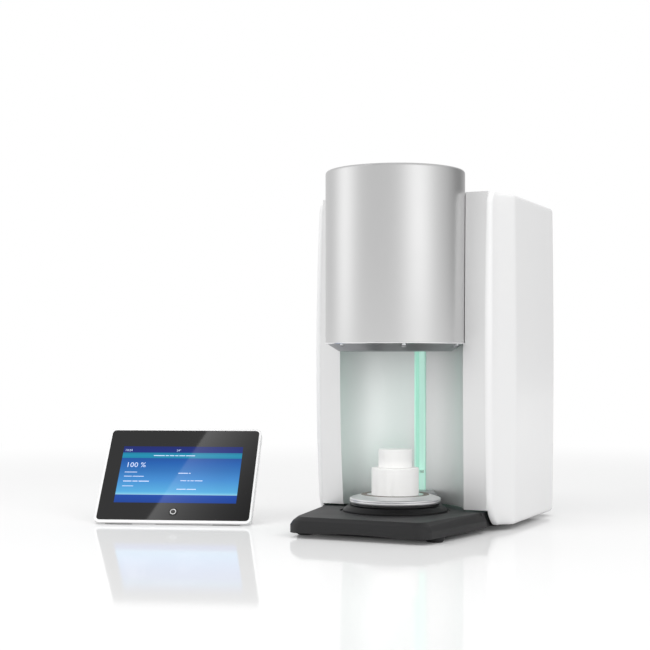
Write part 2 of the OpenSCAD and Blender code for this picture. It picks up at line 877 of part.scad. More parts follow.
module guide_rods() {
    color("#d2d3d5")
    rod_holes(rod_r, rod_foot, upper_bracket_z + bracket_t - rod_foot);
}

module lead_screw() {
    coupler_z = upper_bracket_z - 18;
    color("#bfc0c2")
    translate([0, lift_y, 0]) {
        translate([0, 0, screw_foot + gap]) cylinder(r = screw_r, h = coupler_z - screw_foot, $fn = 48);
        translate([0, 0, coupler_z]) cylinder(r = 9, h = 18 - gap, $fn = 48);
        translate([0, 0, coupler_z + 10]) cylinder(r = shaft_r, h = bracket_t + 28, $fn = 32);
    }
}

module lift_motor() {
    corner = 5;
    half = motor_w / 2;
    color("#3a3b3e")
    translate([0, lift_y, upper_bracket_z + bracket_t]) difference() {
        linear_extrude(motor_h) polygon([[corner - half, -half], [half - corner, -half],
            [half, corner - half], [half, half - corner], [half - corner, half],
            [corner - half, half], [-half, half - corner], [-half, corner - half]]);
        translate([0, 0, -1]) cylinder(r = shaft_r + run, h = 26, $fn = 32);
        for (s = [-1, 1])
            translate([-half - 1, s * half, 12]) rotate([0, 90, 0])
                cylinder(r = 1.5, h = motor_w + 2, $fn = 24);
    }
}

module carriage() {
    color("#76787b")
    difference() {
        translate([-carriage_w / 2, carriage_y[0], carriage_z])
            cube([carriage_w, carriage_y[1] - carriage_y[0], carriage_h]);
        rod_holes(bush_r + run, carriage_z - 1, carriage_h + 2);
        translate([0, lift_y, carriage_z - 1]) cylinder(r = nut_r + run, h = carriage_h + 2, $fn = 64);
    }
}

module rod_bushes() {
    color("#b08d57")
    difference() {
        rod_holes(bush_r, carriage_z, carriage_h);
        rod_holes(rod_r + run, carriage_z - 1, carriage_h + 2);
    }
}

module lift_nut() {
    color("#c9a64d")
    translate([0, lift_y, carriage_z]) difference() {
        union() {
            cylinder(r = nut_r, h = carriage_h, $fn = 64);
            translate([0, 0, carriage_h]) cylinder(r = nut_r + 4, h = 3, $fn = 64);
        }
        translate([0, 0, -1]) cylinder(r = screw_r + run, h = carriage_h + 5, $fn = 48);
    }
}

// Where a line from the yoke's rear corner touches a circle of radius r about the drum's axis
function yoke_touch(r) = let (a = atan2(yoke_y, yoke_half) - acos(r / norm([yoke_half, yoke_y])))
    [r * cos(a), r * sin(a)];

module lift_arm() {
    touch = yoke_touch(plate_r - 2);
    color("#3a3a3c")
    difference() {
        union() {
            translate([0, 0, arm_z]) cylinder(r = plate_r - 2, h = plate_z - arm_z, $fn = smooth);
            translate([0, 0, arm_z]) linear_extrude(plate_top - 1 - arm_z)
                polygon([[-touch[0], touch[1]], touch, [yoke_half, yoke_y], [-yoke_half, yoke_y]]);
            translate([-arm_t / 2, yoke_y - 1, arm_z]) cube([arm_t, carriage_y[0] - yoke_y + 1, arm_h]);
        }
        translate([0, 0, plate_z]) cylinder(r = plate_r + 0.6, h = 20, $fn = smooth);
    }
}

module door_plate() {
    groove = 0.8;
    mid = plate_z + plate_rim / 2;
    shoulder = seal_r[1] + 1;
    color("#b9babd")
    turned([[0, plate_z], [plate_r, plate_z], [plate_r, mid - groove / 2],
        [plate_r - groove, mid - groove / 2], [plate_r - groove, mid + groove / 2],
        [plate_r, mid + groove / 2], [plate_r, plate_rim_z - 1], [plate_r - 1, plate_rim_z],
        [shoulder, plate_top], [seal_r[1] + run, plate_top], [seal_r[1] + run, plate_top - seal_h],
        [seal_r[0] - run, plate_top - seal_h], [seal_r[0] - run, plate_top],
        [stone_r + gap, plate_top], [stone_r + gap, stone_z], [0, stone_z]]);
}

module plate_seal() {
    top = plate_top + seal_proud;
    low = plate_top - seal_h;
    color("#77716a")
    turned([[seal_r[0], low], [seal_r[1], low], [seal_r[1], top - 0.5],
        [seal_r[1] - 0.5, top], [seal_r[0] + 0.5, top], [seal_r[0], top - 0.5]]);
}

// A ceramic disc with a small chamfer on both edges
module stone(r, h) {
    c = 0.8;
    rotate_extrude($fn = smooth)
        polygon([[0, 0], [r - c, 0], [r, c], [r, h - c], [r - c, h], [0, h]]);
}

module lower_stone() {
    color("#f5f4f0")
    translate([0, 0, stone_z]) stone(stone_r, stone_h);
}

module upper_stone() {
    color("#f7f6f3")
    translate([0, 0, small_stone_z]) stone(small_stone_r, small_stone_h);
}

// The touch panel's own frame: x across, y up the glass, z out of the glass, origin under the glass's edge
module on_panel() {
    translate([-panel_x, -panel_y, panel_z])
        rotate([0, 0, panel_turn]) rotate([90 - panel_lean, 0, 0]) children();
}

panel_top_y = glass_h + rim_w;
panel_h = panel_top_y + rim_low;
panel_mid_y = panel_top_y - panel_h / 2;
back_t = 2.2;
shelf = 5;
port_y = 60;
panel_half = glass_w / 2 + rim_w;
cable_port = [14, 15, 7];
port_mid = -5.4;
panel_screws = [[-95, 22], [95, 22], [-95, 146], [95, 146]];
lug_t = 6;
lug_x = leg_w / 2 + 0.6;

module panel_block() {
    intersection() {
        translate([0, panel_mid_y, -panel_t]) linear_extrude(panel_t)
            rounded(2 * panel_half, panel_h, panel_round);
        translate([-panel_half, 0, 0]) rotate([90, 0, 90]) linear_extrude(2 * panel_half)
            polygon([[-rim_low - 1, 1], [-rim_low - 1, -chamfer_z], [-rim_low, -chamfer_z],
                [(panel_t - chamfer_z) * tan(panel_lean) - rim_low, -panel_t],
                [panel_top_y - chamfer_y, -panel_t], [panel_top_y, chamfer_z - panel_t],
                [panel_top_y + 1, chamfer_z - panel_t], [panel_top_y + 1, 1]]);
    }
}

module display_back() {
    color("#f0f0f1")
    on_panel() difference() {
        union() {
            panel_block();
            for (s = [-1, 1])
                translate([s * (lug_x + lug_t / 2) - lug_t / 2, hinge_y, 0]) rotate([90, 0, 90]) {
                    translate([0, hinge_z]) cylinder(r = 5, h = lug_t, $fn = 48);
                    translate([-5, hinge_z, 0]) cube([10, 6, lug_t]);
                }
        }
        translate([0, glass_h / 2, -glass_t]) linear_extrude(glass_t + 1)
            rounded(glass_w + 2 * run, glass_h + 2 * run, panel_round - rim_w);
        translate([0, glass_h / 2, back_t - panel_t]) linear_extrude(panel_t)
            rounded(glass_w - 2 * shelf, glass_h - 2 * shelf, 4);
        translate([-panel_half - 1, port_y - cable_port[1] / 2 - run, port_mid - cable_port[2] / 2 - run])
            cube([rim_w + shelf + 2, cable_port[1] + 2 * run, cable_port[2] + 2 * run]);
        for (p = panel_screws)
            translate([p[0], p[1], -panel_t - 1]) cylinder(r = 1.6, h = back_t + 2, $fn = 24);
        translate([-lug_x - lug_t + 1, hinge_y, hinge_z]) rotate([0, 90, 0])
            cylinder(r = pin_r + run, h = 2 * (lug_x + lug_t) - 2, $fn = 32);
    }
}

module display_glass() {
    color("#17191d")
    on_panel() difference() {
        translate([0, glass_h / 2, -glass_t]) linear_extrude(glass_t)
            rounded(glass_w, glass_h, panel_round - rim_w);
        translate([0, button_y, -glass_t - 1]) cylinder(r = button_r + gap, h = glass_t + 2, $fn = 48);
    }
}

module display_screen() {
    edge = 3;
    color("#3f7fbf")
    on_panel() translate([-screen_w / 2 - edge, screen_y - edge, -glass_t - 3.5])
        cube([screen_w + 2 * edge, screen_h + 2 * edge, 3.5]);
}

module display_board() {
    board = [screen_w - 13, screen_h - 5, 1.8];
    tab_w = 40;
    color("#2c6b45")
    on_panel() union() {
        translate([-board[0] / 2, screen_y + 2, -glass_t - 5.3]) cube(board);
        for (i = [-1 : 1])
            translate([i * board[0] / 4 - 12, screen_y + board[1] / 3, -glass_t - 6.6])
                cube([24, 24, 1.6]);
        translate([-tab_w / 2, button_y - 8.5, -glass_t - 5.8])
            cube([tab_w, screen_y - button_y + 11.5, 1.6]);
    }
}

module display_port() {
    color("#2b2c2f")
    on_panel() translate([-panel_half + 1, port_y - cable_port[1] / 2, port_mid - cable_port[2] / 2])
        difference() {
            cube(cable_port);
            translate([-1, 2, 1.2])
                cube([cable_port[0] - 2, cable_port[1] - 4, cable_port[2] - 2.4]);
        }
}

module display_button() {
    proud = 0.5;
    color("#c8ccd2")
    on_panel() translate([0, button_y, 0]) {
        difference() {
            translate([0, 0, -4]) cylinder(r = button_r, h = 4 + proud, $fn = 48);
            translate([0, 0, proud - 0.6]) difference() {
                cylinder(r = button_r - 1.4, h = 1, $fn = 48);
                translate([0, 0, -1]) cylinder(r = button_r - 2.4, h = 3, $fn = 48);
            }
        }
    }
}

module display_stand() {
    window = [leg_w - 36, leg_l - 44];
    color("#e9e9ea")
    on_panel() translate([0, hinge_y, hinge_z]) rotate([leg_open, 0, 0]) difference() {
        union() {
            translate([-leg_w / 2, 0, 0]) rotate([0, 90, 0]) cylinder(r = 4.6, h = leg_w, $fn = 48);
            translate([-leg_w / 2, -leg_l, -leg_t / 2]) cube([leg_w, leg_l, leg_t]);
        }
        translate([-window[0] / 2, -leg_l + 18, -leg_t]) cube([window[0], window[1], 2 * leg_t]);
        translate([-leg_w / 2 - 1, 0, 0]) rotate([0, 90, 0])
            cylinder(r = pin_r + run, h = leg_w + 2, $fn = 32);
    }
}

module stand_pin() {
    color("#c4c6c8")
    on_panel() translate([-lug_x - lug_t + 1 + gap, hinge_y, hinge_z]) rotate([0, 90, 0])
        cylinder(r = pin_r, h = 2 * (lug_x + lug_t - 1 - gap), $fn = 32);
}

module display_pads() {
    front = chamfer_z * cos(panel_lean) - rim_low * sin(panel_lean);
    color("#2a2a2b")
    translate([-panel_x, -panel_y, 0]) rotate([0, 0, panel_turn])
        for (s = [-1, 1])
            translate([s * 80 - 20, front + 2, 0]) cube([40, 7.5, pad_h]);
}

module display_screws() {
    color("#b9bbbd")
    on_panel() for (p = panel_screws)
        translate([p[0], p[1], -panel_t]) {
            cylinder(r = 1.5, h = back_t, $fn = 24);
            translate([0, 0, -1.2]) cylinder(r = 2.8, h = 1.2, $fn = 32);
        }
}

base_plate();
base_feet();
dock_ring();
front_column();
light_guides();
drum_shell();
drum_cap();
drum_floor();
drum_screws();
insulation_jacket();
muffle();
heating_coil();
coil_supports();
thermocouple();
left_cover();
right_cover();
top_cover();
rear_panel();
connector_plate();
rear_posts();
rear_screws();
fan_frame();
fan_rotor();
fan_guard();
mains_inlet();
fuse_drawer();
power_switch();
display_socket();
network_socket();
power_supply();
heat_sink();
control_board();
lift_channel();
lower_bracket();
upper_bracket();
guide_rods();
lead_screw();
lift_motor();
carriage();
lift_nut();
rod_bushes();
lift_arm();
door_plate();
plate_seal();
lower_stone();
upper_stone();
display_back();
display_glass();
display_screen();
display_board();
display_port();
display_button();
display_stand();
stand_pin();
display_pads();
display_screws();
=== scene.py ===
import json
import math

import bmesh
import bpy
from mathutils import Matrix, Vector, noise


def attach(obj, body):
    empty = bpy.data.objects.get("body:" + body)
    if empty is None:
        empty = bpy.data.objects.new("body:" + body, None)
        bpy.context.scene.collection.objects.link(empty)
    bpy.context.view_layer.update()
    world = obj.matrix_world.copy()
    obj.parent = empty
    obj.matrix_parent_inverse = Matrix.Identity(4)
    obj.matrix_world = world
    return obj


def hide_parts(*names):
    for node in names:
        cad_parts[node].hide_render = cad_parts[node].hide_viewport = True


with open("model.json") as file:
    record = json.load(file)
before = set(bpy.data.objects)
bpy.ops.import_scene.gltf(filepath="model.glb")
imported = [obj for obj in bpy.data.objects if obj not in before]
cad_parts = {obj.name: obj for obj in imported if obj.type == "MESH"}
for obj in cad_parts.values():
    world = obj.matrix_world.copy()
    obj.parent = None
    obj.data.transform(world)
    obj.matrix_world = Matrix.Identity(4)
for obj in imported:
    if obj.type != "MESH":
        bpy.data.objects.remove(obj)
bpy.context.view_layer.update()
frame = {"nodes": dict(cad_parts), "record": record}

MM = 0.001
BODY_OF = {node: body for body, nodes in frame["record"]["behaviour"]["bodies"].items() for node in nodes}
WHITE = (1, 1, 1, 1)
scene = bpy.context.scene
scene.view_settings.view_transform = "Standard"


def link(obj):
    scene.collection.objects.link(obj)
    return obj


# ---- Camera: level, 236 mm above the bench, 25 degrees to the right of the niche's front ----

FOCAL_PX, FRAME_PX, SENSOR_MM = 1391, 650, 36


def make_camera():
    data = bpy.data.cameras.new("photo_camera")
    data.sensor_width = SENSOR_MM
    data.lens = FOCAL_PX / FRAME_PX * SENSOR_MM
    data.shift_x = -0.0057
    data.shift_y = 0.0577
    data.clip_end = 60
    camera = link(bpy.data.objects.new("photo_camera", data))
    camera.location = (0.7538, -1.8087, 0.2361)
    camera.rotation_euler = (math.radians(90), 0, math.radians(25.36))
    scene.camera = camera


make_camera()


# ---- Materials ----

def linear(colour, alpha=1.0):
    """An sRGB hex value as the linear colour that a shader socket takes."""
    parts = [int(colour[i:i + 2], 16) / 255 for i in (1, 3, 5)]
    return [p / 12.92 if p <= 0.04045 else ((p + 0.055) / 1.055) ** 2.4 for p in parts] + [alpha]


def add(tree, kind, inputs=None, **settings):
    """Adds a node with its settings; an input is a value or another node's output socket."""
    node = tree.nodes.new(kind)
    for key, value in settings.items():
        setattr(node, key, value)
    for key, value in (inputs or {}).items():
        if isinstance(value, bpy.types.NodeSocket):
            tree.links.new(value, node.inputs[key])
        else:
            node.inputs[key].default_value = value
    return node


def finish(name, colour, metallic=0.0, roughness=0.5, grain=None, mottle=None, edge=0.0, pattern=None, **constants):
    """A finish: colour with a little mottle, roughness that varies with it, a grain as bump, edges that
    look rounded by `edge` millimetres, and constants for the shader's own sockets.
    grain is (size in mm, height in mm); mottle is (size in mm, the other hex, how far the colour goes to it)."""
    material = bpy.data.materials.new(name)
    material.use_nodes = True
    tree = material.node_tree
    shader = tree.nodes["Principled BSDF"]
    shader.inputs["Metallic"].default_value = metallic
    for socket, value in constants.items():
        shader.inputs[socket.replace("_", " ")].default_value = value
    place = add(tree, "ShaderNodeTexCoord").outputs["Object"]
    patch, other, reach = mottle or (60.0, colour, 0.0)
    cloud = add(tree, "ShaderNodeTexNoise", {"Vector": place, "Scale": 1000 / patch, "Detail": 3.0})
    blend = add(tree, "ShaderNodeMath", {0: cloud.outputs["Fac"], 1: reach}, operation="MULTIPLY")
    tint = add(tree, "ShaderNodeMixRGB", {"Fac": blend.outputs[0], "Color1": linear(colour), "Color2": linear(other)})
    tree.links.new(tint.outputs["Color"], shader.inputs["Base Color"])
    rough = add(tree, "ShaderNodeMapRange", {"Value": cloud.outputs["Fac"], "To Min": roughness * 0.9,
                                             "To Max": roughness * 1.1})
    tree.links.new(rough.outputs["Result"], shader.inputs["Roughness"])
    normal = None
    if edge:
        normal = add(tree, "ShaderNodeBevel", {"Radius": edge * MM}, samples=4).outputs["Normal"]
    if grain:
        size, height = grain
        if pattern == "rings":
            fine = add(tree, "ShaderNodeTexWave", {"Vector": place, "Scale": 1000 / size / 20, "Distortion": 0.6,
                                                   "Detail": 2.0, "Detail Scale": 2.0},
                       wave_type="RINGS", rings_direction="Z")
        elif pattern == "voronoi":
            fine = add(tree, "ShaderNodeTexVoronoi", {"Vector": place, "Scale": 1000 / size})
        elif pattern == "brushed":
            stretch = add(tree, "ShaderNodeMapping", {"Vector": place, "Scale": (0.02, 1.0, 1.0)})
            fine = add(tree, "ShaderNodeTexNoise", {"Vector": stretch.outputs["Vector"], "Scale": 1000 / size})
        else:
            fine = add(tree, "ShaderNodeTexNoise", {"Vector": place, "Scale": 1000 / size, "Detail": 2.0})
        bump = add(tree, "ShaderNodeBump", {"Height": fine.outputs[0], "Distance": height * MM, "Strength": 0.6})
        if normal:
            tree.links.new(normal, bump.inputs["Normal"])
        normal = bump.outputs["Normal"]
    if normal:
        tree.links.new(normal, shader.inputs["Normal"])
    return material


# Bead-blasted, clear anodised aluminium: a soft satin that spreads each light into one wide vertical band
anodised = finish("anodised_aluminium_satin", "#d2d2d2", 1.0, 0.30, grain=(0.6, 0.004), mottle=(90, "#cbcbcb", 0.5))
# Column sheet in silver lacquer: paler and duller than the drum, so the niche has no bright streaks
column_sheet = finish("silver_lacquered_sheet", "#ececec", 0.6, 0.42, grain=(0.8, 0.004),
                      mottle=(120, "#e4e4e4", 0.5), edge=1.0)
# Polished aluminium bead: a thin bright line round the drum's foot
polished_rim = finish("polished_aluminium", "#e8e8e9", 1.0, 0.16, grain=(0.5, 0.001))
# Painted moulded ABS: white with a faint orange peel under a clear gloss
white_abs = finish("moulded_white_abs", "#f4f4f4", 0.0, 0.36, grain=(4.0, 0.006), mottle=(80, "#eeeeef", 0.5),
                   edge=1.0, Coat_Weight=0.25, Coat_Roughness=0.14)
# Powder coat on cast aluminium: near-black with a fine leathery grain that softens every edge
powder_coat = finish("powder_coat_charcoal", "#1a1a1b", 0.0, 0.5, grain=(0.9, 0.03), mottle=(50, "#212122", 0.6),
                     edge=1.6, Specular_IOR_Level=0.4)
# Satin dark lacquer on turned steel: the ring under the plate
dark_lacquer = finish("dark_satin_lacquer", "#111112", 0.0, 0.42, grain=(1.2, 0.01), edge=0.8,
                      Specular_IOR_Level=0.2)
# Turned stainless steel: fine concentric tool marks that catch the light in rings
turned_steel = finish("turned_stainless_steel", "#e4e4e5", 0.8, 0.3, grain=(1.6, 0.004), pattern="rings",
                      mottle=(70, "#d2d2d4", 0.5), edge=0.4)
# Bright zinc plate on screws and wire: small sharp glints with a faint cloudiness
bright_steel = finish("bright_zinc_plate", "#dddee0", 1.0, 0.2, grain=(0.8, 0.002), mottle=(6, "#c6c8cc", 0.6),
                      edge=0.2)
# Heat-darkened steel of the drum floor: blue-grey with broad tint changes
heat_steel = finish("heat_tinted_steel", "#a2a3a5", 1.0, 0.42, grain=(1.0, 0.008), mottle=(35, "#88898d", 0.8),
                    edge=0.6)
# Vacuum-formed alumina fibre: chalk white, dry and finely pitted
fibre_ceramic = finish("alumina_fibre_board", "#fafaf9", 0.0, 0.9, grain=(1.1, 0.03),
                       mottle=(12, "#f3f2f0", 0.6), edge=0.8, Specular_IOR_Level=0.25)
# Ceramic fibre rope, grey and felted
fibre_seal = finish("ceramic_fibre_seal", "#8a8680", 0.0, 0.95, grain=(0.7, 0.12), mottle=(4, "#6f6b66", 0.7))
# Nitrile rubber: dead matt black
rubber = finish("nitrile_rubber", "#18181a", 0.0, 0.8, grain=(0.8, 0.02), mottle=(20, "#202022", 0.5))
# Zinc-plated sheet of the rear panel and the power supply: faint spangle
zinc_sheet = finish("zinc_plated_sheet", "#b9bcc0", 1.0, 0.44, grain=(2.5, 0.004), mottle=(14, "#a9acb1", 0.7),
                    pattern="voronoi", edge=0.4)
# Milled aluminium of the lift's carriage and brackets: fine straight cutter lines
milled = finish("milled_aluminium", "#b9bbbe", 1.0, 0.34, grain=(0.9, 0.01), mottle=(40, "#abadb0", 0.5),
                pattern="brushed", edge=0.4)
# Ground and hardened steel of rods and screw: a near mirror
ground_steel = finish("ground_bearing_steel", "#d4d5d8", 1.0, 0.12, grain=(0.4, 0.001),
                      mottle=(30, "#c8c9cc", 0.4))
# Oil-filled sintered bronze: brown-gold, porous and dull
bronze = finish("sintered_bronze", "#b48a4e", 1.0, 0.4, grain=(0.5, 0.01), mottle=(5, "#9c7440", 0.6))
# White acetal: the waxy plastic of the lift's nut
acetal = finish("white_acetal", "#e6e8e6", 0.0, 0.35, grain=(1.5, 0.004), mottle=(20, "#dadcda", 0.5), edge=0.3)
# Drawn tube of the coil: a warm copper with darker heat stains
copper = finish("drawn_copper_tube", "#c98054", 1.0, 0.28, grain=(1.5, 0.003), mottle=(18, "#8f4f38", 0.7))
# Moulded nylon with glass fibre: black with a dry, slightly grainy sheen
black_nylon = finish("glass_filled_black_nylon", "#1e1e20", 0.0, 0.55, grain=(1.0, 0.015),
                     mottle=(25, "#262628", 0.5), edge=0.4)
# Moulded polycarbonate of the rocker: a clear hard gloss over deep red
red_rocker = finish("moulded_red_polycarbonate", "#b5202a", 0.0, 0.25, grain=(2.0, 0.003),
                    mottle=(9, "#a81c26", 0.4), edge=0.5, Coat_Weight=0.4)
# Solder mask on circuit boards: green lacquer with paler patches over the tracks
solder_mask = finish("green_solder_mask", "#1f6a40", 0.0, 0.35, grain=(1.8, 0.01), mottle=(8, "#2b7d50", 0.6),
                     edge=0.2)
# Fired alumina: cream, matt and faintly clouded
fired_alumina = finish("fired_alumina", "#e9e3d6", 0.0, 0.7, grain=(0.8, 0.02), mottle=(16, "#dcd3c2", 0.6), edge=0.5)
# Black float glass: little colour of its own, so it shows what it mirrors
black_glass = finish("black_float_glass", "#0c0c0d", 0.0, 0.03, mottle=(120, "#0a0a0b", 0.5), edge=0.3, IOR=1.5)


def glow(name, base, colour, strength, mottle=None):
    """Something lit from inside, such as translucent acrylic, or a painted glow on a surface that light falls on:
    nearly the same shade all over, with a soft gloss on its face.
    """
    material = finish(name, base, 0.0, 0.38, grain=(2.0, 0.003), mottle=mottle)
    shader = material.node_tree.nodes["Principled BSDF"]
    shader.inputs["Emission Color"].default_value = linear(colour)
    shader.inputs["Emission Strength"].default_value = strength
    return material


# Frosted acrylic bars with green light-emitting diodes behind them, and the mint lacquered web with a painted glow
# for the light they cast on it
lit_acrylic = glow("frosted_acrylic_lit_green", "#c4e6da", "#c8fded", 0.26, mottle=(30, "#b4dccd", 0.5))
mint_web_painted_glow = glow("mint_lacquer_painted_glow", "#b9d9cd", "#e0fdf5", 0.44, mottle=(60, "#a9cfc1", 0.6))


def paint_shade_below(material, height, colour):
    """Paints everything under a height in millimetres a dull dark colour with no metal, as painted shade."""
    tree = material.node_tree
    shader = tree.nodes["Principled BSDF"]
    place = add(tree, "ShaderNodeTexCoord").outputs["Object"]
    up = add(tree, "ShaderNodeSeparateXYZ", {0: place}).outputs["Z"]
    above = add(tree, "ShaderNodeMapRange", {"Value": up, "From Min": (height - 0.1) * MM,
                                             "From Max": (height + 0.1) * MM}).outputs["Result"]
    bare = shader.inputs["Base Color"].links[0].from_socket
    tint = add(tree, "ShaderNodeMixRGB", {"Fac": above, "Color1": linear(colour), "Color2": bare})
    tree.links.new(tint.outputs["Color"], shader.inputs["Base Color"])
    metal = add(tree, "ShaderNodeMath", {0: above, 1: shader.inputs["Metallic"].default_value}, operation="MULTIPLY")
    tree.links.new(metal.outputs[0], shader.inputs["Metallic"])
    return material


# Satin steel arm whose disc under the plate is painted near-black as painted shadow, so a dark gap shows below the
# plate's rim
ARM_DISC_TOP = 39.4
arm_with_painted_shade = paint_shade_below(finish("satin_steel_painted_shade_underside", "#b4b4b6", 1.0, 0.38, grain=(0.9, 0.006),
                                    mottle=(40, "#a8a8aa", 0.5), edge=0.4), ARM_DISC_TOP, "#0e0e0f")

MATERIAL_OF = {
    "base_plate": powder_coat, "base_feet": rubber, "dock_ring": dark_lacquer, "front_column": column_sheet,
    "light_guides": lit_acrylic, "drum_shell": anodised, "drum_cap": zinc_sheet, "drum_floor": heat_steel,
    "drum_screws": bright_steel, "insulation_jacket": fibre_ceramic, "muffle": fired_alumina,
    "heating_coil": copper, "coil_supports": fired_alumina, "thermocouple": fired_alumina,
    "left_cover": white_abs, "right_cover": white_abs, "top_cover": white_abs, "rear_panel": zinc_sheet,
    "connector_plate": zinc_sheet, "rear_posts": milled, "rear_screws": bright_steel, "fan_frame": black_nylon,
    "fan_rotor": black_nylon, "fan_guard": bright_steel, "mains_inlet": black_nylon, "fuse_drawer": black_nylon,
    "power_switch": red_rocker, "display_socket": black_nylon, "network_socket": bright_steel,
    "power_supply": zinc_sheet, "heat_sink": milled, "control_board": solder_mask, "lift_channel": mint_web_painted_glow,
    "lower_bracket": milled, "upper_bracket": milled, "guide_rods": ground_steel, "lead_screw": ground_steel,
    "lift_motor": black_nylon, "carriage": mint_web_painted_glow, "lift_nut": acetal, "rod_bushes": bronze,
    "lift_arm": arm_with_painted_shade, "door_plate": turned_steel, "plate_seal": fibre_seal, "lower_stone": fibre_ceramic,
    "upper_stone": fibre_ceramic, "display_back": white_abs, "display_glass": black_glass,
    "display_screen": black_glass, "display_board": solder_mask, "display_port": black_nylon,
    "display_button": black_glass, "display_stand": white_abs, "stand_pin": ground_steel, "display_pads": rubber,
    "display_screws": bright_steel,
}

for name, node in frame["nodes"].items():
    for slot in node.material_slots:
        slot.material = MATERIAL_OF[name]


# ---- How pieces are made: every outline is in millimetres ----

def seat(piece, node, material=None, stands_for=True):
    """Gives a piece its finish and its place on the body of a node, which it stands for unless told otherwise."""
    piece.data.materials.clear()
    piece.data.materials.append(material or MATERIAL_OF[node])
    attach(piece, BODY_OF[node])
    if stands_for:
        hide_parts(node)
    return piece


def solid(name, points, faces, angle=32, place=None):
    """An object from points in millimetres, with doubles merged, faces outwards and smooth up to an angle."""
    mesh = bpy.data.meshes.new(name)
    mesh.from_pydata([Vector(p) * MM for p in points], [], faces)
    if place:
        mesh.transform(place)
    bm = bmesh.new()
    bm.from_mesh(mesh)
    bmesh.ops.remove_doubles(bm, verts=bm.verts, dist=2e-6)
    bmesh.ops.dissolve_degenerate(bm, edges=bm.edges, dist=1e-7)
    bmesh.ops.recalc_face_normals(bm, faces=bm.faces)
    bm.to_mesh(mesh)
    bm.free()
    mesh.shade_smooth()
    mesh.set_sharp_from_angle(angle=math.radians(angle))
    return link(bpy.data.objects.new(name, mesh))


def eased(corners, radius, steps=4):
    """A closed outline with its corners rounded; radius is one number, or one for each corner."""
    radii = radius if isinstance(radius, (list, tuple)) else [radius] * len(corners)
    path = []
    for i, r in enumerate(radii):
        here = Vector(corners[i])
        back, ahead = Vector(corners[i - 1]) - here, Vector(corners[(i + 1) % len(corners)]) - here
        if r <= 0:
            path.append(here)
            continue
        cut = min(r, back.length * 0.48, ahead.length * 0.48)
        start, end = here + back.normalized() * cut, here + ahead.normalized() * cut
        for k in range(steps + 1):
            t = k / steps
            path.append(start * (1 - t) ** 2 + here * 2 * t * (1 - t) + end * t ** 2)
    return path


def turned(name, outline, segments=144, shift=None, angle=32, place=None):
    """A solid of revolution about the drum's axis; shift(turn, r, z) may move a point to (r, z)."""
    n = len(outline)
    points = []
    for k in range(segments):
        turn = 2 * math.pi * k / segments
        for r, z in outline:
            if shift:
                r, z = shift(turn, r, z)
            points.append((r * math.sin(turn), -r * math.cos(turn), z))
    faces = [(k * n + i, k * n + (i + 1) % n, (k + 1) % segments * n + (i + 1) % n, (k + 1) % segments * n + i)
             for k in range(segments) for i in range(n)]
    return solid(name, points, faces, angle, place)


def dressed(node, width=0.0, segments=2, angle=30, flat_over=1e9, levels=None):
    """A copy of a node's mesh with edges rounded by width millimetres and smooth faces, but for those larger than
    flat_over square millimetres; levels moves heights to others, in millimetres, as (from, to) pairs."""
    mesh = frame["nodes"][node].data.copy()
    bm = bmesh.new()
    bm.from_mesh(mesh)
    bmesh.ops.remove_doubles(bm, verts=bm.verts, dist=2e-6)
    bmesh.ops.dissolve_limit(bm, angle_limit=math.radians(0.6), verts=bm.verts, edges=bm.edges)
    for vert in bm.verts if levels else []:
        z = vert.co.z / MM
        for (low, new_low), (high, new_high) in zip(levels, levels[1:]):
            if low <= z <= high + 0.01:
                vert.co.z = (new_low + (z - low) / (high - low) * (new_high - new_low)) * MM
                break
    bm.to_mesh(mesh)
    bm.free()
    piece = link(bpy.data.objects.new(node + "_skin", mesh))
    if width:
        soft = piece.modifiers.new("edges", "BEVEL")
        soft.width = width * MM
        soft.segments = segments
        soft.limit_method = "ANGLE"
        soft.angle_limit = math.radians(angle)
        soft.harden_normals = False
        result = bpy.data.meshes.new_from_object(piece.evaluated_get(bpy.context.evaluated_depsgraph_get()))
        piece.modifiers.clear()
        piece.data = result
    piece.data.shade_smooth()
    piece.data.set_sharp_from_angle(angle=math.radians(angle))
    for face in piece.data.polygons:
        if face.area > flat_over * MM * MM:
            face.use_smooth = False
    return seat(piece, node)


# ---- Drum ----

DRUM_R, DRUM_Z, DRUM_TOP, DRUM_WALL, DRUM_LIP = 98.0, 263.0, 504.0, 2.5, 10

shell = turned("drum_shell_skin", eased(
    [(DRUM_R - DRUM_WALL, DRUM_Z), (DRUM_R, DRUM_Z), (DRUM_R, DRUM_TOP), (DRUM_R - DRUM_LIP, DRUM_TOP),
     (DRUM_R - DRUM_LIP, DRUM_TOP - DRUM_WALL), (DRUM_R - DRUM_WALL, DRUM_TOP - DRUM_WALL)],
    [0.2, 0.4, 6.5, 0.4, 0.4, 3], 8), 256)
seat(shell, "drum_shell")

BEAD_R, BEAD_Z, BEAD_HALF_W, BEAD_HALF_H = 97.0, 262.9, 1.35, 1.2
bead = turned("drum_rim_bead", [(BEAD_R + BEAD_HALF_W * math.cos(math.radians(a)),
                                 BEAD_Z + BEAD_HALF_H * math.sin(math.radians(a))) for a in range(0, 360, 30)], 256)
seat(bead, "drum_shell", polished_rim, stands_for=False)


# ---- Door plate, its ring and the stones ----

plate = turned("door_plate_skin", eased(
    [(0, 39), (62.4, 39), (64, 40.8), (64, 43.2), (63.4, 43.5), (63.4, 44.1), (64, 44.4), (64, 45.7), (62.4, 47),
     (49, 51), (48.05, 51), (48.05, 48.9), (39.95, 48.9), (39.95, 51), (33.6, 51), (33.6, 49), (0, 49)],
    [0, 1.6, 1.6, 0.3, 0.2, 0.2, 0.3, 1.2, 1.6, 0.6, 0.2, 0.2, 0.2, 0.2, 0.3, 0.2, 0]), 192)
seat(plate, "door_plate")

ring = turned("dock_ring_skin", eased(
    [(60, 28), (73.5, 28), (73.5, 30), (66.5, 36), (60, 36)], [0.2, 0.2, 0.8, 1.2, 0.5]), 192)
seat(ring, "dock_ring")


SEAL_R, STRANDS, STRAND_DEPTH = 44, 90, 0.14


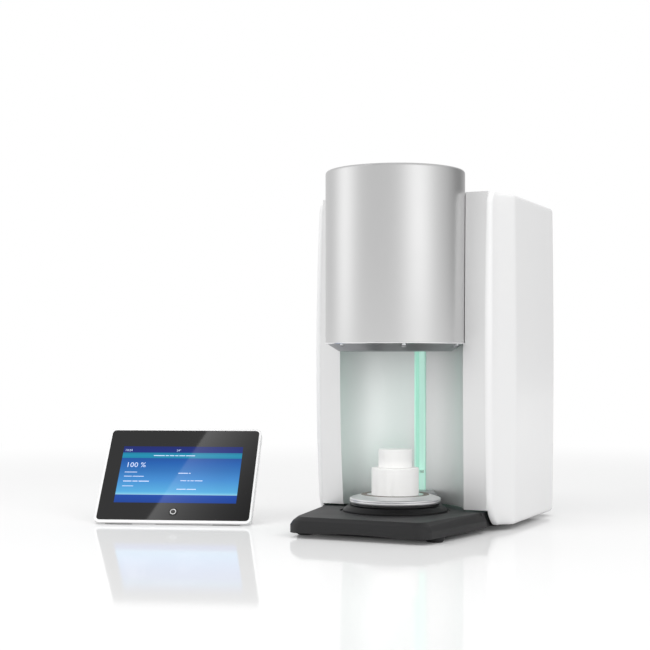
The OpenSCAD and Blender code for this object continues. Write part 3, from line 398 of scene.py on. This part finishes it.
def braid(turn, r, z):
    """Pushes the seal's top in and out as the strands of a plaited rope do."""
    if z < 49.5:
        return r, z
    return r, z - STRAND_DEPTH * (1 + math.sin(turn * STRANDS + (r - SEAL_R) * 1.4))


seal = turned("plate_seal_skin", eased([(40, 48.9), (48, 48.9), (48, 51.4), (46.6, 51.6), (44, 51.6), (41.4, 51.6),
                                        (40, 51.4)], [0, 0, 0.8, 0.4, 0.4, 0.4, 0.8]), 720, braid)
seat(seal, "plate_seal")


def crumbled(low, high):
    """Wears the two edges of a fibre disc a little unevenly, within 0.5 mm."""
    def shift(turn, r, z):
        near = max(0.0, 1 - min(z - low, high - z) / 1.6) if r > 20 else 0.0
        chip = max(0.0, noise.noise((math.cos(turn) * r / 7, math.sin(turn) * r / 7, z / 5)))
        return r - 0.9 * chip * near, z
    return shift


def stone(name, radius, low, high):
    disc = turned(name + "_skin", eased([(0, low), (radius, low), (radius, high), (0, high)], [0, 1.2, 1.2, 0], 5),
                  192, crumbled(low, high))
    seat(disc, name)


PLATE_SEAT, STONE_JOINT, STONE_TOP = 49, 88.6, 114.6
stone("lower_stone", 33.3, PLATE_SEAT, STONE_JOINT)
stone("upper_stone", 23.6, STONE_JOINT, STONE_TOP)


# ---- Base: the casting's side stands taller than in the solid, and its underside lies lower ----

dressed("base_plate", 0.7, 3, 25, flat_over=200,
        levels=[(9.9, 6.4), (10, 6.5), (13, 8.5), (14, 17), (20, 22), (21, 23), (27, 27.2), (28, 28)])


# ---- Side covers: lofted through levels with the same plan as the solids, but finer ----

SEAM_X, BODY_HALF, REAR_Y, REAR_R, CREASE_Y = 126.0, 150.0, 295.0, 10.0, 85.0
COVER_LOW, COVER_HIGH, BODY_TOP, FACE_Y, FACE_BOW = 6.0, 475.0, 474.0, 28.5, 10.0
LOW_R, HIGH_R, EDGE_R, WALL, FLARE, TAPER, BOW = 40.0, 18.0, 6.0, 3.0, 14.5, 4.0, 2.0
QUARTER = [math.radians(a) for a in range(0, 91, 9)]
REAR_SEAM = BODY_HALF - TAPER - REAR_R - 14


def inset(d, r):
    """How far a round of radius r stands back at depth d from its end."""
    return 0 if d >= r else r - math.sqrt(r * r - (r - d) ** 2)


def cover_plan(z, deep):
    """The right cover in plan at height z, from the front seam to the rear seam."""
    low, high = z - COVER_LOW, COVER_HIGH - z
    middle = (COVER_LOW + BODY_TOP) / 2
    face = FACE_Y - FACE_BOW * (1 - ((z - middle) / (middle - COVER_LOW)) ** 2)
    edge = inset(low, EDGE_R) + inset(high, EDGE_R)
    x = BODY_HALF - edge - BOW * ((low - high) / (COVER_HIGH - COVER_LOW)) ** 2 - deep
    front = face + inset(low, LOW_R) + inset(high, HIGH_R) + deep
    r1, r2 = x - FLARE - SEAM_X - 0.4, REAR_R - deep
    rear = REAR_Y - edge - deep
    path = [(SEAM_X, front)]
    for a in QUARTER:
        path.append((SEAM_X + 0.4 + r1 * math.sin(a), front + r1 - r1 * math.cos(a)))
    start, end = Vector(path[-1]), Vector((x, CREASE_Y))
    path += [tuple(start.lerp(end, t)) for t in (0.3, 0.7, 0.94)] + [tuple(end)]
    path.append((x - 0.3, CREASE_Y + 6))
    for a in QUARTER:
        path.append((x - TAPER - r2 + r2 * math.cos(a), rear - r2 + r2 * math.sin(a)))
    return path + [(REAR_SEAM, rear)]


def cover_levels():
    """Heights of the loft's rings, close together where the ends curve."""
    edge = [EDGE_R * (1 - math.cos(math.radians(a))) for a in (35, 43, 51, 60, 70, 80)]
    low = [LOW_R * (1 - math.cos(math.radians(a))) for a in range(33, 91, 6)] + [LOW_R]
    high = [HIGH_R * (1 - math.cos(math.radians(a))) for a in range(50, 91, 8)] + [HIGH_R]
    reach = COVER_HIGH - HIGH_R - COVER_LOW - LOW_R
    between = [COVER_LOW + LOW_R + reach * i / 14 for i in range(1, 14)]
    return ([COVER_LOW + d for d in edge + low] + between
            + [COVER_HIGH - d for d in reversed(edge + high)])


def side_cover(node, side):
    """A walled cover lofted through its levels; side is 1 for the right one and -1 for the left one."""
    rings = [(z, cover_plan(z, 0), cover_plan(z, WALL)) for z in sorted(cover_levels())]
    n = len(rings[0][1])
    points = [(side * x, y, z) for z, outer, inner in rings for x, y in outer + inner[::-1]]
    m, last = 2 * n, len(rings) - 1
    faces = [(k * m + i, k * m + (i + 1) % m, (k + 1) * m + (i + 1) % m, (k + 1) * m + i)
             for k in range(last) for i in range(m)]
    for k in (0, last):
        faces += [(k * m + i, k * m + i + 1, k * m + m - 2 - i, k * m + m - 1 - i) for i in range(n - 1)]
    seat(solid(node + "_skin", points, faces, 40), node)


side_cover("right_cover", 1)
side_cover("left_cover", -1)


# ---- Touch panel: its own frame has x across, y up the glass, z out of the glass ----

PANEL = (Matrix.Translation((-0.3205, -0.076, 0.00634)) @ Matrix.Rotation(math.radians(19.2), 4, "Z")
         @ Matrix.Rotation(math.radians(51.3), 4, "X"))
SCREEN_W, SCREEN_H, SCREEN_Y = 183.0, 101.0, 30.0
PICTURE_Z, PICTURE_BACK, MARK_Z, BUTTON_Y = 0.05, -0.2, 0.09, 14.5

dressed("display_back", 0.9, 3, flat_over=30)
dressed("display_glass", 0.35, 3, flat_over=10)
dressed("display_stand", 0.8, 3, flat_over=30)

button_ring = turned("button_ring", eased([(3.35, -0.1), (4.6, -0.1), (4.6, 0.75), (3.35, 0.75)],
                                          [0, 0, 0.3, 0.3]), 64,
                     place=PANEL @ Matrix.Translation((0, BUTTON_Y * MM, 0)))
seat(button_ring, "display_button", polished_rim, stands_for=False)


def screen_glow(name, stops):
    """A lit picture under glass: bands of colour up its height, with a little unevenness of the backlight."""
    material = bpy.data.materials.new(name)
    material.use_nodes = True
    tree = material.node_tree
    shader = tree.nodes["Principled BSDF"]
    shader.inputs["Base Color"].default_value = linear("#0a0c12")
    shader.inputs["Roughness"].default_value = 0.03
    shader.inputs["Specular IOR Level"].default_value = 0.3
    shader.inputs["Emission Strength"].default_value = 0.92
    height = add(tree, "ShaderNodeSeparateXYZ", {0: add(tree, "ShaderNodeUVMap", uv_map="screen").outputs[0]})
    bands = add(tree, "ShaderNodeValToRGB", {"Fac": height.outputs["Y"]})
    band = bands.color_ramp
    while len(band.elements) < len(stops):
        band.elements.new(0.5)
    for element, (at, colour) in zip(band.elements, stops):
        element.position = at
        element.color = linear(colour)
    place = add(tree, "ShaderNodeTexCoord").outputs["Object"]
    cloud = add(tree, "ShaderNodeTexNoise", {"Vector": place, "Scale": 1000 / 60})
    level = add(tree, "ShaderNodeMapRange", {"Value": cloud.outputs["Fac"], "To Min": 0.93, "To Max": 1.07})
    shade = add(tree, "ShaderNodeVectorMath", {0: bands.outputs["Color"], 1: level.outputs["Result"]},
                operation="MULTIPLY")
    tree.links.new(shade.outputs[0], shader.inputs["Emission Color"])
    return material


def screen_picture():
    """The lit area: dark head band, cyan row, a body that pales downwards, a bright line and a foot band."""
    half = SCREEN_W / 2
    corners = [(-half, SCREEN_Y), (half, SCREEN_Y), (half, SCREEN_Y + SCREEN_H), (-half, SCREEN_Y + SCREEN_H)]
    rim = eased(corners, 0.4, 2)
    n = len(rim)
    points = [(x, y, PICTURE_Z) for x, y in rim] + [(x, y, PICTURE_BACK) for x, y in rim]
    faces = [tuple(range(n)), tuple(reversed(range(n, 2 * n)))]
    faces += [(i, n + i, n + (i + 1) % n, (i + 1) % n) for i in range(n)]
    piece = solid("screen_picture", points, faces, 30, PANEL)
    uv = piece.data.uv_layers.new(name="screen")
    back = PANEL.inverted()
    for loop in piece.data.loops:
        local = back @ piece.data.vertices[loop.vertex_index].co / MM
        uv.data[loop.index].uv = (local.x / SCREEN_W + 0.5, (local.y - SCREEN_Y) / SCREEN_H)
    material = screen_glow("lit_liquid_crystal_screen", [
        (0.0, "#04409c"), (0.135, "#0c4baf"), (0.140, "#a8dcf2"), (0.155, "#78ccf0"), (0.19, "#58b4ea"),
        (0.40, "#3f90d8"), (0.56, "#2875c0"), (0.70, "#0e60b4"), (0.785, "#0652a6"), (0.79, "#008aaf"),
        (0.84, "#0094b8"), (0.885, "#007ea4"), (0.89, "#00247f"), (1.0, "#041c70")])
    seat(piece, "display_screen", material, stands_for=False)


def figures(words, size, x, y):
    """Outlines of figures as a flat mesh, their lower left corner at x, y millimetres from the screen's."""
    curve = bpy.data.curves.new("figures", "FONT")
    curve.body = words
    curve.size = size * MM
    curve.resolution_u = 2
    holder = link(bpy.data.objects.new("figures", curve))
    mesh = bpy.data.meshes.new_from_object(holder.evaluated_get(bpy.context.evaluated_depsgraph_get()))
    bpy.data.objects.remove(holder)
    place = Vector(((x - SCREEN_W / 2) * MM, (y + SCREEN_Y) * MM, MARK_Z * MM))
    return [v.co + place for v in mesh.vertices], [tuple(p.vertices) for p in mesh.polygons]


def bar_row(x, y, lengths, height, space=1.3):
    """A row of round-ended bars, as a line of small print looks from afar."""
    points, faces = [], []
    for length in lengths:
        box = eased([(x, y), (x + length, y), (x + length, y + height), (x, y + height)], height * 0.4, 3)
        faces.append(tuple(range(len(points), len(points) + len(box))))
        points += [Vector(((px - SCREEN_W / 2) * MM, (py + SCREEN_Y) * MM, MARK_Z * MM)) for px, py in box]
        x += length + space
    return points, faces


def screen_marks():
    """Plain figures and bars on the screen, with no words."""
    parts = [figures("10:24", 5.2, 2.5, 92.2), figures("24°", 5.0, 82, 92.2), figures("100 %", 12.5, 8, 63),
             bar_row(48, 83.6, (17, 5, 7, 5, 9, 14), 1.3), bar_row(8, 53.4, (19,), 1.1),
             bar_row(8, 45.9, (12, 17), 1.1), bar_row(8, 37.0, (13, 8, 16), 1.5), bar_row(8, 28.6, (17,), 1.0),
             bar_row(90, 51.8, (15, 2.5), 1.4), bar_row(95, 38.5, (9, 3.5, 5, 12), 1.3),
             bar_row(91, 23.3, (14, 14), 1.4)]
    points, faces = [], []
    for some, loops in parts:
        faces += [tuple(i + len(points) for i in loop) for loop in loops]
        points += some
    mesh = bpy.data.meshes.new("screen_marks")
    mesh.from_pydata([PANEL @ p for p in points], [], faces)
    piece = link(bpy.data.objects.new("screen_marks", mesh))
    seat(piece, "display_screen", glow("white_screen_pixels", "#8898b8", "#dfeaff", 0.62, (25, "#8090b0", 0.5)),
         stands_for=False)


screen_picture()
screen_marks()


# ---- Pieces from Geometry Nodes: screws, the coil and the guard ----

def new_tree(name, sizes):
    """A tree with named inputs for its sizes; returns it with the sockets of those inputs by name."""
    tree = bpy.data.node_groups.new(name, "GeometryNodeTree")
    for label, kind in sizes.items():
        tree.interface.new_socket(name=label, in_out="INPUT", socket_type="NodeSocket" + kind)
    tree.interface.new_socket(name="Geometry", in_out="OUTPUT", socket_type="NodeSocketGeometry")
    start = add(tree, "NodeGroupInput")
    return tree, {label: start.outputs[label] for label in sizes}


def end_tree(tree, geometry, material):
    """Realizes the instances, gives them their finish and sends them out."""
    whole = add(tree, "GeometryNodeRealizeInstances", {0: geometry})
    coated = add(tree, "GeometryNodeSetMaterial", {"Geometry": whole.outputs[0], "Material": material})
    add(tree, "NodeGroupOutput", {0: coated.outputs[0]})


def grown(name, tree, values, node, angle=35):
    """Evaluates a tree with its inputs set, and seats the plain mesh that comes out."""
    piece = link(bpy.data.objects.new(name, bpy.data.meshes.new(name)))
    maker = piece.modifiers.new("maker", "NODES")
    maker.node_group = tree
    for item in tree.interface.items_tree:
        if item.in_out == "INPUT":
            maker[item.identifier] = values[item.name]
    mesh = bpy.data.meshes.new_from_object(piece.evaluated_get(bpy.context.evaluated_depsgraph_get()))
    piece.modifiers.clear()
    piece.data = mesh
    mesh.shade_smooth()
    mesh.set_sharp_from_angle(angle=math.radians(angle))
    return seat(piece, node)


def screw_form(shank_r, shank_l, head_r, head_h):
    """One socket screw along +Z with its head at the top, as a mesh object to copy."""
    sides, socket = 24, 1.7
    rings = [(0, -shank_l, 0), (shank_r - 0.3, -shank_l, 0), (shank_r, 0.3 - shank_l, 0), (shank_r, 0, 0),
             (head_r, 0, 0), (head_r, head_h - 0.7, 0), (head_r - 0.2, head_h - 0.25, 0),
             (head_r - 0.7, head_h, 0), (socket + 0.15, head_h, 1), (socket, head_h - 0.15, 1),
             (socket, head_h - 1.3, 1), (0, head_h - 1.6, 0)]
    points = []
    for r, z, six in rings:
        for k in range(sides):
            turn = 2 * math.pi * k / sides
            away = (turn + math.pi / 6) % (math.pi / 3) - math.pi / 6
            reach = r * math.cos(math.pi / 6) / math.cos(math.pi / 6 - abs(away)) if six else r
            points.append((reach * math.cos(turn), reach * math.sin(turn), z))
    faces = [(k * sides + i, k * sides + (i + 1) % sides, (k + 1) * sides + (i + 1) % sides, (k + 1) * sides + i)
             for k in range(len(rings) - 1) for i in range(sides)]
    return solid("screw_form", points, faces)


def screws(name, node, places, turn, form):
    """Copies of one screw on a list of places."""
    points = link(bpy.data.objects.new("screw_places", bpy.data.meshes.new("screw_places")))
    points.data.from_pydata([Vector(p) * MM for p in places], [], [])
    tree, size = new_tree("screws_on_places", {"Screw": "Object", "Places": "Object", "Turn": "Rotation"})
    marks = add(tree, "GeometryNodeObjectInfo", {"Object": size["Places"]})
    shape = add(tree, "GeometryNodeObjectInfo", {"Object": size["Screw"]})
    copies = add(tree, "GeometryNodeInstanceOnPoints", {"Points": marks.outputs["Geometry"],
                                                        "Instance": shape.outputs["Geometry"],
                                                        "Rotation": size["Turn"]})
    end_tree(tree, copies.outputs[0], MATERIAL_OF[node])
    grown(name, tree, {"Screw": form, "Places": points, "Turn": turn}, node)
    bpy.data.objects.remove(points)
    bpy.data.objects.remove(form)


SHANK_R, HEAD_R, SCREW_CIRCLE, FLOOR_Z = 1.9, 3.4, 90.8, 262
screws("drum_screw_set", "drum_screws",
       [(SCREW_CIRCLE * math.sin(math.radians(a)), -SCREW_CIRCLE * math.cos(math.radians(a)), FLOOR_Z)
        for a in range(30, 360, 60)], (math.pi, 0, 0), screw_form(SHANK_R, 7, HEAD_R, 2.4))
REAR_FACE, REAR_SCREW_X, REAR_SCREW_ROWS = 292, 110, (40, 100, 200, 320, 440)
screws("rear_screw_set", "rear_screws",
       [(s * REAR_SCREW_X, REAR_FACE, z) for s in (-1, 1) for z in REAR_SCREW_ROWS],
       (-math.pi / 2, 0, 0), screw_form(SHANK_R, 9, HEAD_R, 2.0))


def coil():
    """A round tube wound on a true helix."""
    tree, size = new_tree("wound_tube", {"Turns": "Float", "Pitch": "Float", "Coil radius": "Float",
                                         "Tube radius": "Float", "Foot height": "Float"})
    rise = add(tree, "ShaderNodeMath", {0: size["Turns"], 1: size["Pitch"]}, operation="MULTIPLY")
    path = add(tree, "GeometryNodeCurveSpiral", {"Resolution": 64, "Rotations": size["Turns"],
                                                 "Start Radius": size["Coil radius"],
                                                 "End Radius": size["Coil radius"], "Height": rise.outputs[0]})
    section = add(tree, "GeometryNodeCurvePrimitiveCircle", {"Resolution": 16, "Radius": size["Tube radius"]})
    lift = add(tree, "ShaderNodeCombineXYZ", {"Z": size["Foot height"]})
    tube = add(tree, "GeometryNodeCurveToMesh", {"Curve": path.outputs[0], "Profile Curve": section.outputs[0],
                                                 "Fill Caps": True})
    raised = add(tree, "GeometryNodeTransform", {"Geometry": tube.outputs[0], "Translation": lift.outputs[0]})
    end_tree(tree, raised.outputs[0], copper)
    grown("heating_coil_tube", tree, {"Turns": 7.0, "Pitch": 10 * MM, "Coil radius": 51.5 * MM,
                                      "Tube radius": 3 * MM, "Foot height": 284 * MM}, "heating_coil")


SPOKE_DROP, GUARD_PLACE = -1.4, (0, 0.2943, 0.380)


def guard():
    """Concentric rings of round wire on four spokes."""
    tree, size = new_tree("wire_guard", {"Rings": "Int", "Ring step": "Float", "Wire radius": "Float",
                                         "Spoke start": "Float", "Spoke end": "Float"})
    spots = add(tree, "GeometryNodeMeshLine", {"Count": size["Rings"], "Offset": (0, 0, 0)})
    order = add(tree, "ShaderNodeMath", {0: add(tree, "GeometryNodeInputIndex").outputs[0], 1: 1.0}, operation="ADD")
    ring_path = add(tree, "GeometryNodeCurvePrimitiveCircle", {"Resolution": 96, "Radius": size["Ring step"]})
    rings = add(tree, "GeometryNodeInstanceOnPoints", {"Points": spots.outputs[0], "Instance": ring_path.outputs[0],
                                                       "Scale": order.outputs[0]})
    low = add(tree, "ShaderNodeCombineXYZ", {"X": size["Spoke start"], "Z": SPOKE_DROP * MM})
    far = add(tree, "ShaderNodeCombineXYZ", {"X": size["Spoke end"], "Z": SPOKE_DROP * MM})
    spoke = add(tree, "GeometryNodeCurvePrimitiveLine", {"Start": low.outputs[0], "End": far.outputs[0]})
    spread = add(tree, "GeometryNodeMeshLine", {"Count": 4, "Offset": (0, 0, 0)})
    angle = add(tree, "ShaderNodeMath", {0: add(tree, "GeometryNodeInputIndex").outputs[0], 1: math.pi / 2,
                                         2: math.pi / 4}, operation="MULTIPLY_ADD")
    turn = add(tree, "ShaderNodeCombineXYZ", {"Z": angle.outputs[0]})
    spokes = add(tree, "GeometryNodeInstanceOnPoints", {"Points": spread.outputs[0], "Instance": spoke.outputs[0],
                                                        "Rotation": turn.outputs[0]})
    lines = add(tree, "GeometryNodeJoinGeometry")
    for part in (rings, spokes):
        tree.links.new(part.outputs[0], lines.inputs[0])
    paths = add(tree, "GeometryNodeRealizeInstances", {0: lines.outputs[0]})
    section = add(tree, "GeometryNodeCurvePrimitiveCircle", {"Resolution": 10, "Radius": size["Wire radius"]})
    wire = add(tree, "GeometryNodeCurveToMesh", {"Curve": paths.outputs[0], "Profile Curve": section.outputs[0],
                                                 "Fill Caps": True})
    hung = add(tree, "GeometryNodeTransform", {"Geometry": wire.outputs[0], "Translation": GUARD_PLACE,
                                               "Rotation": (-math.pi / 2, 0, 0)})
    end_tree(tree, hung.outputs[0], bright_steel)
    grown("fan_guard_wires", tree, {"Rings": 4, "Ring step": 10.875 * MM, "Wire radius": 0.9 * MM,
                                    "Spoke start": 9 * MM, "Spoke end": 50 * MM}, "fan_guard")


coil()
guard()


# ---- Surroundings: a pale floor, a white room and soft lamps ----

FLOOR_HALF, FLOOR_Z_M, FLOOR_GLOSS, FLOOR_LIFT = 9, -0.0006, 0.31, 0.115
BASE_CENTRE = (0, 0.095, 0)


def make_floor():
    """A white gloss table: it keeps the shadows and a weak mirror image, and fades into the white room."""
    mesh = bpy.data.meshes.new("floor")
    mesh.from_pydata([(x * FLOOR_HALF, y * FLOOR_HALF, FLOOR_Z_M) for x, y in ((-1, -1), (1, -1), (1, 1), (-1, 1))],
                     [], [(0, 1, 2, 3)])
    floor = link(bpy.data.objects.new("floor", mesh))
    material = bpy.data.materials.new("white_acrylic_table")
    material.use_nodes = True
    tree = material.node_tree
    tree.nodes.remove(tree.nodes["Principled BSDF"])
    rays = add(tree, "ShaderNodeLightPath")
    paint = add(tree, "ShaderNodeMixRGB", {"Fac": rays.outputs["Is Diffuse Ray"], "Color1": linear("#e6e6e6"),
                                           "Color2": linear("#cccccc")})
    matt = add(tree, "ShaderNodeBsdfDiffuse", {"Color": paint.outputs["Color"]})
    gloss = add(tree, "ShaderNodeBsdfGlossy", {"Color": WHITE, "Roughness": 0.07})
    top = add(tree, "ShaderNodeMixShader", {0: FLOOR_GLOSS, 1: matt.outputs[0], 2: gloss.outputs[0]})
    seen = add(tree, "ShaderNodeMath", {0: rays.outputs["Is Camera Ray"], 1: rays.outputs["Is Glossy Ray"]},
               operation="MAXIMUM")
    seen = add(tree, "ShaderNodeMath", {0: seen.outputs[0], 1: rays.outputs["Is Transmission Ray"]},
               operation="MAXIMUM")
    place = add(tree, "ShaderNodeTexCoord").outputs["Object"]
    # Painted shade: the lift is cut off in a box round the base's footprint, so that the rendered contact shadow
    # there stays dark
    flat = add(tree, "ShaderNodeVectorMath", {0: place, 1: BASE_CENTRE}, operation="SUBTRACT")
    flat = add(tree, "ShaderNodeSeparateXYZ", {0: add(tree, "ShaderNodeVectorMath", {0: flat.outputs[0]},
                                                      operation="ABSOLUTE").outputs[0]})
    aside = add(tree, "ShaderNodeMapRange", {"Value": flat.outputs["X"], "From Min": 0.085, "From Max": 0.135})
    beyond = add(tree, "ShaderNodeMapRange", {"Value": flat.outputs["Y"], "From Min": 0.17, "From Max": 0.22})
    outside_painted_shade = add(tree, "ShaderNodeMath", {0: aside.outputs[0], 1: beyond.outputs[0]}, operation="MAXIMUM")
    lift = add(tree, "ShaderNodeMath", {0: seen.outputs[0], 1: FLOOR_LIFT}, operation="MULTIPLY")
    lift = add(tree, "ShaderNodeMath", {0: lift.outputs[0], 1: outside_painted_shade.outputs[0]}, operation="MULTIPLY")
    white = add(tree, "ShaderNodeEmission", {"Color": WHITE, "Strength": lift.outputs[0]})
    lit = add(tree, "ShaderNodeAddShader", {0: top.outputs[0], 1: white.outputs[0]})
    reach = add(tree, "ShaderNodeVectorMath", {0: place}, operation="LENGTH")
    fade = add(tree, "ShaderNodeMapRange", {"Value": reach.outputs["Value"], "From Min": 0.9, "From Max": 2.2},
               interpolation_type="SMOOTHSTEP")
    fade = add(tree, "ShaderNodeMath", {0: fade.outputs["Result"], 1: seen.outputs[0]}, operation="MULTIPLY")
    room = add(tree, "ShaderNodeEmission", {"Color": WHITE, "Strength": 1.0})
    whole = add(tree, "ShaderNodeMixShader", {0: fade.outputs[0], 1: lit.outputs[0], 2: room.outputs[0]})
    tree.links.new(whole.outputs[0], tree.nodes["Material Output"].inputs["Surface"])
    mesh.materials.append(material)


# The room in gloss: compass degrees from the front (-Y) towards the right, sharpness, and how much brighter
ROOM_SIDES = [(-67, 14, 0.70), (61, 10, 0.76), (150, 7, -0.50)]
ROOM_GLOSS, ROOM_DIFFUSE = 0.80, 0.84


def make_room():
    """White to the camera, even for diffuse light, and for gloss a room with two pale windows and a dim corner."""
    world = bpy.data.worlds.new("white_room")
    scene.world = world
    world.use_nodes = True
    world.cycles.sampling_method = "NONE"
    tree = world.node_tree
    back = tree.nodes["Background"]
    way = add(tree, "ShaderNodeTexCoord").outputs["Generated"]
    level_way = add(tree, "ShaderNodeVectorMath", {0: way, 1: (1, 1, 0)}, operation="MULTIPLY")
    level_way = add(tree, "ShaderNodeVectorMath", {0: level_way.outputs[0]}, operation="NORMALIZE")
    height = add(tree, "ShaderNodeSeparateXYZ", {0: way})
    low = add(tree, "ShaderNodeMapRange", {"Value": height.outputs["Z"], "From Min": 0.3, "From Max": 0.8,
                                           "To Min": 1.0, "To Max": 0.0}, interpolation_type="SMOOTHSTEP")
    total = add(tree, "ShaderNodeValue").outputs[0]
    total.default_value = ROOM_GLOSS
    for degrees, width, strength in ROOM_SIDES:
        turn = math.radians(degrees)
        side = (math.sin(turn), -math.cos(turn), 0)
        facing = add(tree, "ShaderNodeVectorMath", {0: level_way.outputs[0], 1: side}, operation="DOT_PRODUCT")
        facing = add(tree, "ShaderNodeMath", {0: facing.outputs["Value"], 1: 0.0}, operation="MAXIMUM")
        shape = add(tree, "ShaderNodeMath", {0: facing.outputs[0], 1: width}, operation="POWER")
        shape = add(tree, "ShaderNodeMath", {0: shape.outputs[0], 1: low.outputs["Result"]}, operation="MULTIPLY")
        total = add(tree, "ShaderNodeMath", {0: shape.outputs[0], 1: strength, 2: total},
                    operation="MULTIPLY_ADD").outputs[0]
    rays = add(tree, "ShaderNodeLightPath")
    mirrored = add(tree, "ShaderNodeMath", {0: rays.outputs["Is Glossy Ray"], 1: total}, operation="MULTIPLY")
    spread = add(tree, "ShaderNodeMath", {0: rays.outputs["Is Diffuse Ray"], 1: ROOM_DIFFUSE}, operation="MULTIPLY")
    seen = add(tree, "ShaderNodeMath", {0: rays.outputs["Is Camera Ray"], 1: rays.outputs["Is Transmission Ray"]},
               operation="MAXIMUM")
    strength = add(tree, "ShaderNodeMath", {0: mirrored.outputs[0], 1: spread.outputs[0]}, operation="ADD")
    strength = add(tree, "ShaderNodeMath", {0: strength.outputs[0], 1: seen.outputs[0]}, operation="ADD")
    back.inputs["Color"].default_value = WHITE
    tree.links.new(strength.outputs[0], back.inputs["Strength"])


def card(name, corners, strength, reach):
    """A lit card over the table that only glossy surfaces see; it dims away from its first edge."""
    mesh = bpy.data.meshes.new(name)
    mesh.from_pydata(corners, [], [tuple(range(len(corners)))])
    obj = link(bpy.data.objects.new(name, mesh))
    material = bpy.data.materials.new(name + "_light")
    material.use_nodes = True
    tree = material.node_tree
    tree.nodes.remove(tree.nodes["Principled BSDF"])
    along = (Vector(corners[1]) - Vector(corners[0])).normalized()
    across = Vector((along.y, -along.x, 0)) / reach
    place = add(tree, "ShaderNodeTexCoord").outputs["Object"]
    away = add(tree, "ShaderNodeVectorMath", {0: place, 1: across}, operation="DOT_PRODUCT").outputs["Value"]
    away = add(tree, "ShaderNodeMath", {0: Vector(corners[0]).dot(across), 1: away}, operation="SUBTRACT")
    dim = add(tree, "ShaderNodeMath", {0: away.outputs[0]}, operation="EXPONENT")
    power = add(tree, "ShaderNodeMath", {0: dim.outputs[0], 1: strength}, operation="MULTIPLY")
    light = add(tree, "ShaderNodeEmission", {"Color": WHITE, "Strength": power.outputs[0]})
    tree.links.new(light.outputs[0], tree.nodes["Material Output"].inputs["Surface"])
    mesh.materials.append(material)
    for kind in ("camera", "diffuse", "shadow", "transmission", "volume_scatter"):
        setattr(obj, "visible_" + kind, False)


def lamp(name, place, target, size, power, colour=(1, 1, 1)):
    data = bpy.data.lights.new(name, "AREA")
    data.shape = "RECTANGLE"
    data.size, data.size_y = size
    data.energy = power
    data.color = colour
    obj = link(bpy.data.objects.new(name, data))
    obj.location = place
    obj.rotation_euler = (Vector(target) - Vector(place)).to_track_quat("-Z", "Y").to_euler()
    obj.visible_glossy = False
    obj.visible_camera = False
    return obj


make_floor()
make_room()
CARD_Z = 1.5
card("panel_reflection", [(-0.571, -0.796, CARD_Z), (-0.436, -0.332, CARD_Z), (-0.15, -0.332, CARD_Z),
                          (-0.15, -0.796, CARD_Z)], 2.75, 0.115)
lamp("front_softbox", (-1.2, -2.3, 1.7), (0, 0, 0.2), (1.8, 1.8), 20)
lamp("right_softbox", (1.9, -1.0, 1.5), (0, 0, 0.3), (1.2, 1.6), 14.5)
lamp("top_softbox", (0.0, -0.2, 2.4), (0, 0, 0), (2.0, 2.0), 8)
lamp("niche_glow", (0.01, 0.07, 0.16), (-0.09, 0.02, 0.17), (0.006, 0.16), 0.035, (0.45, 1.0, 0.8))
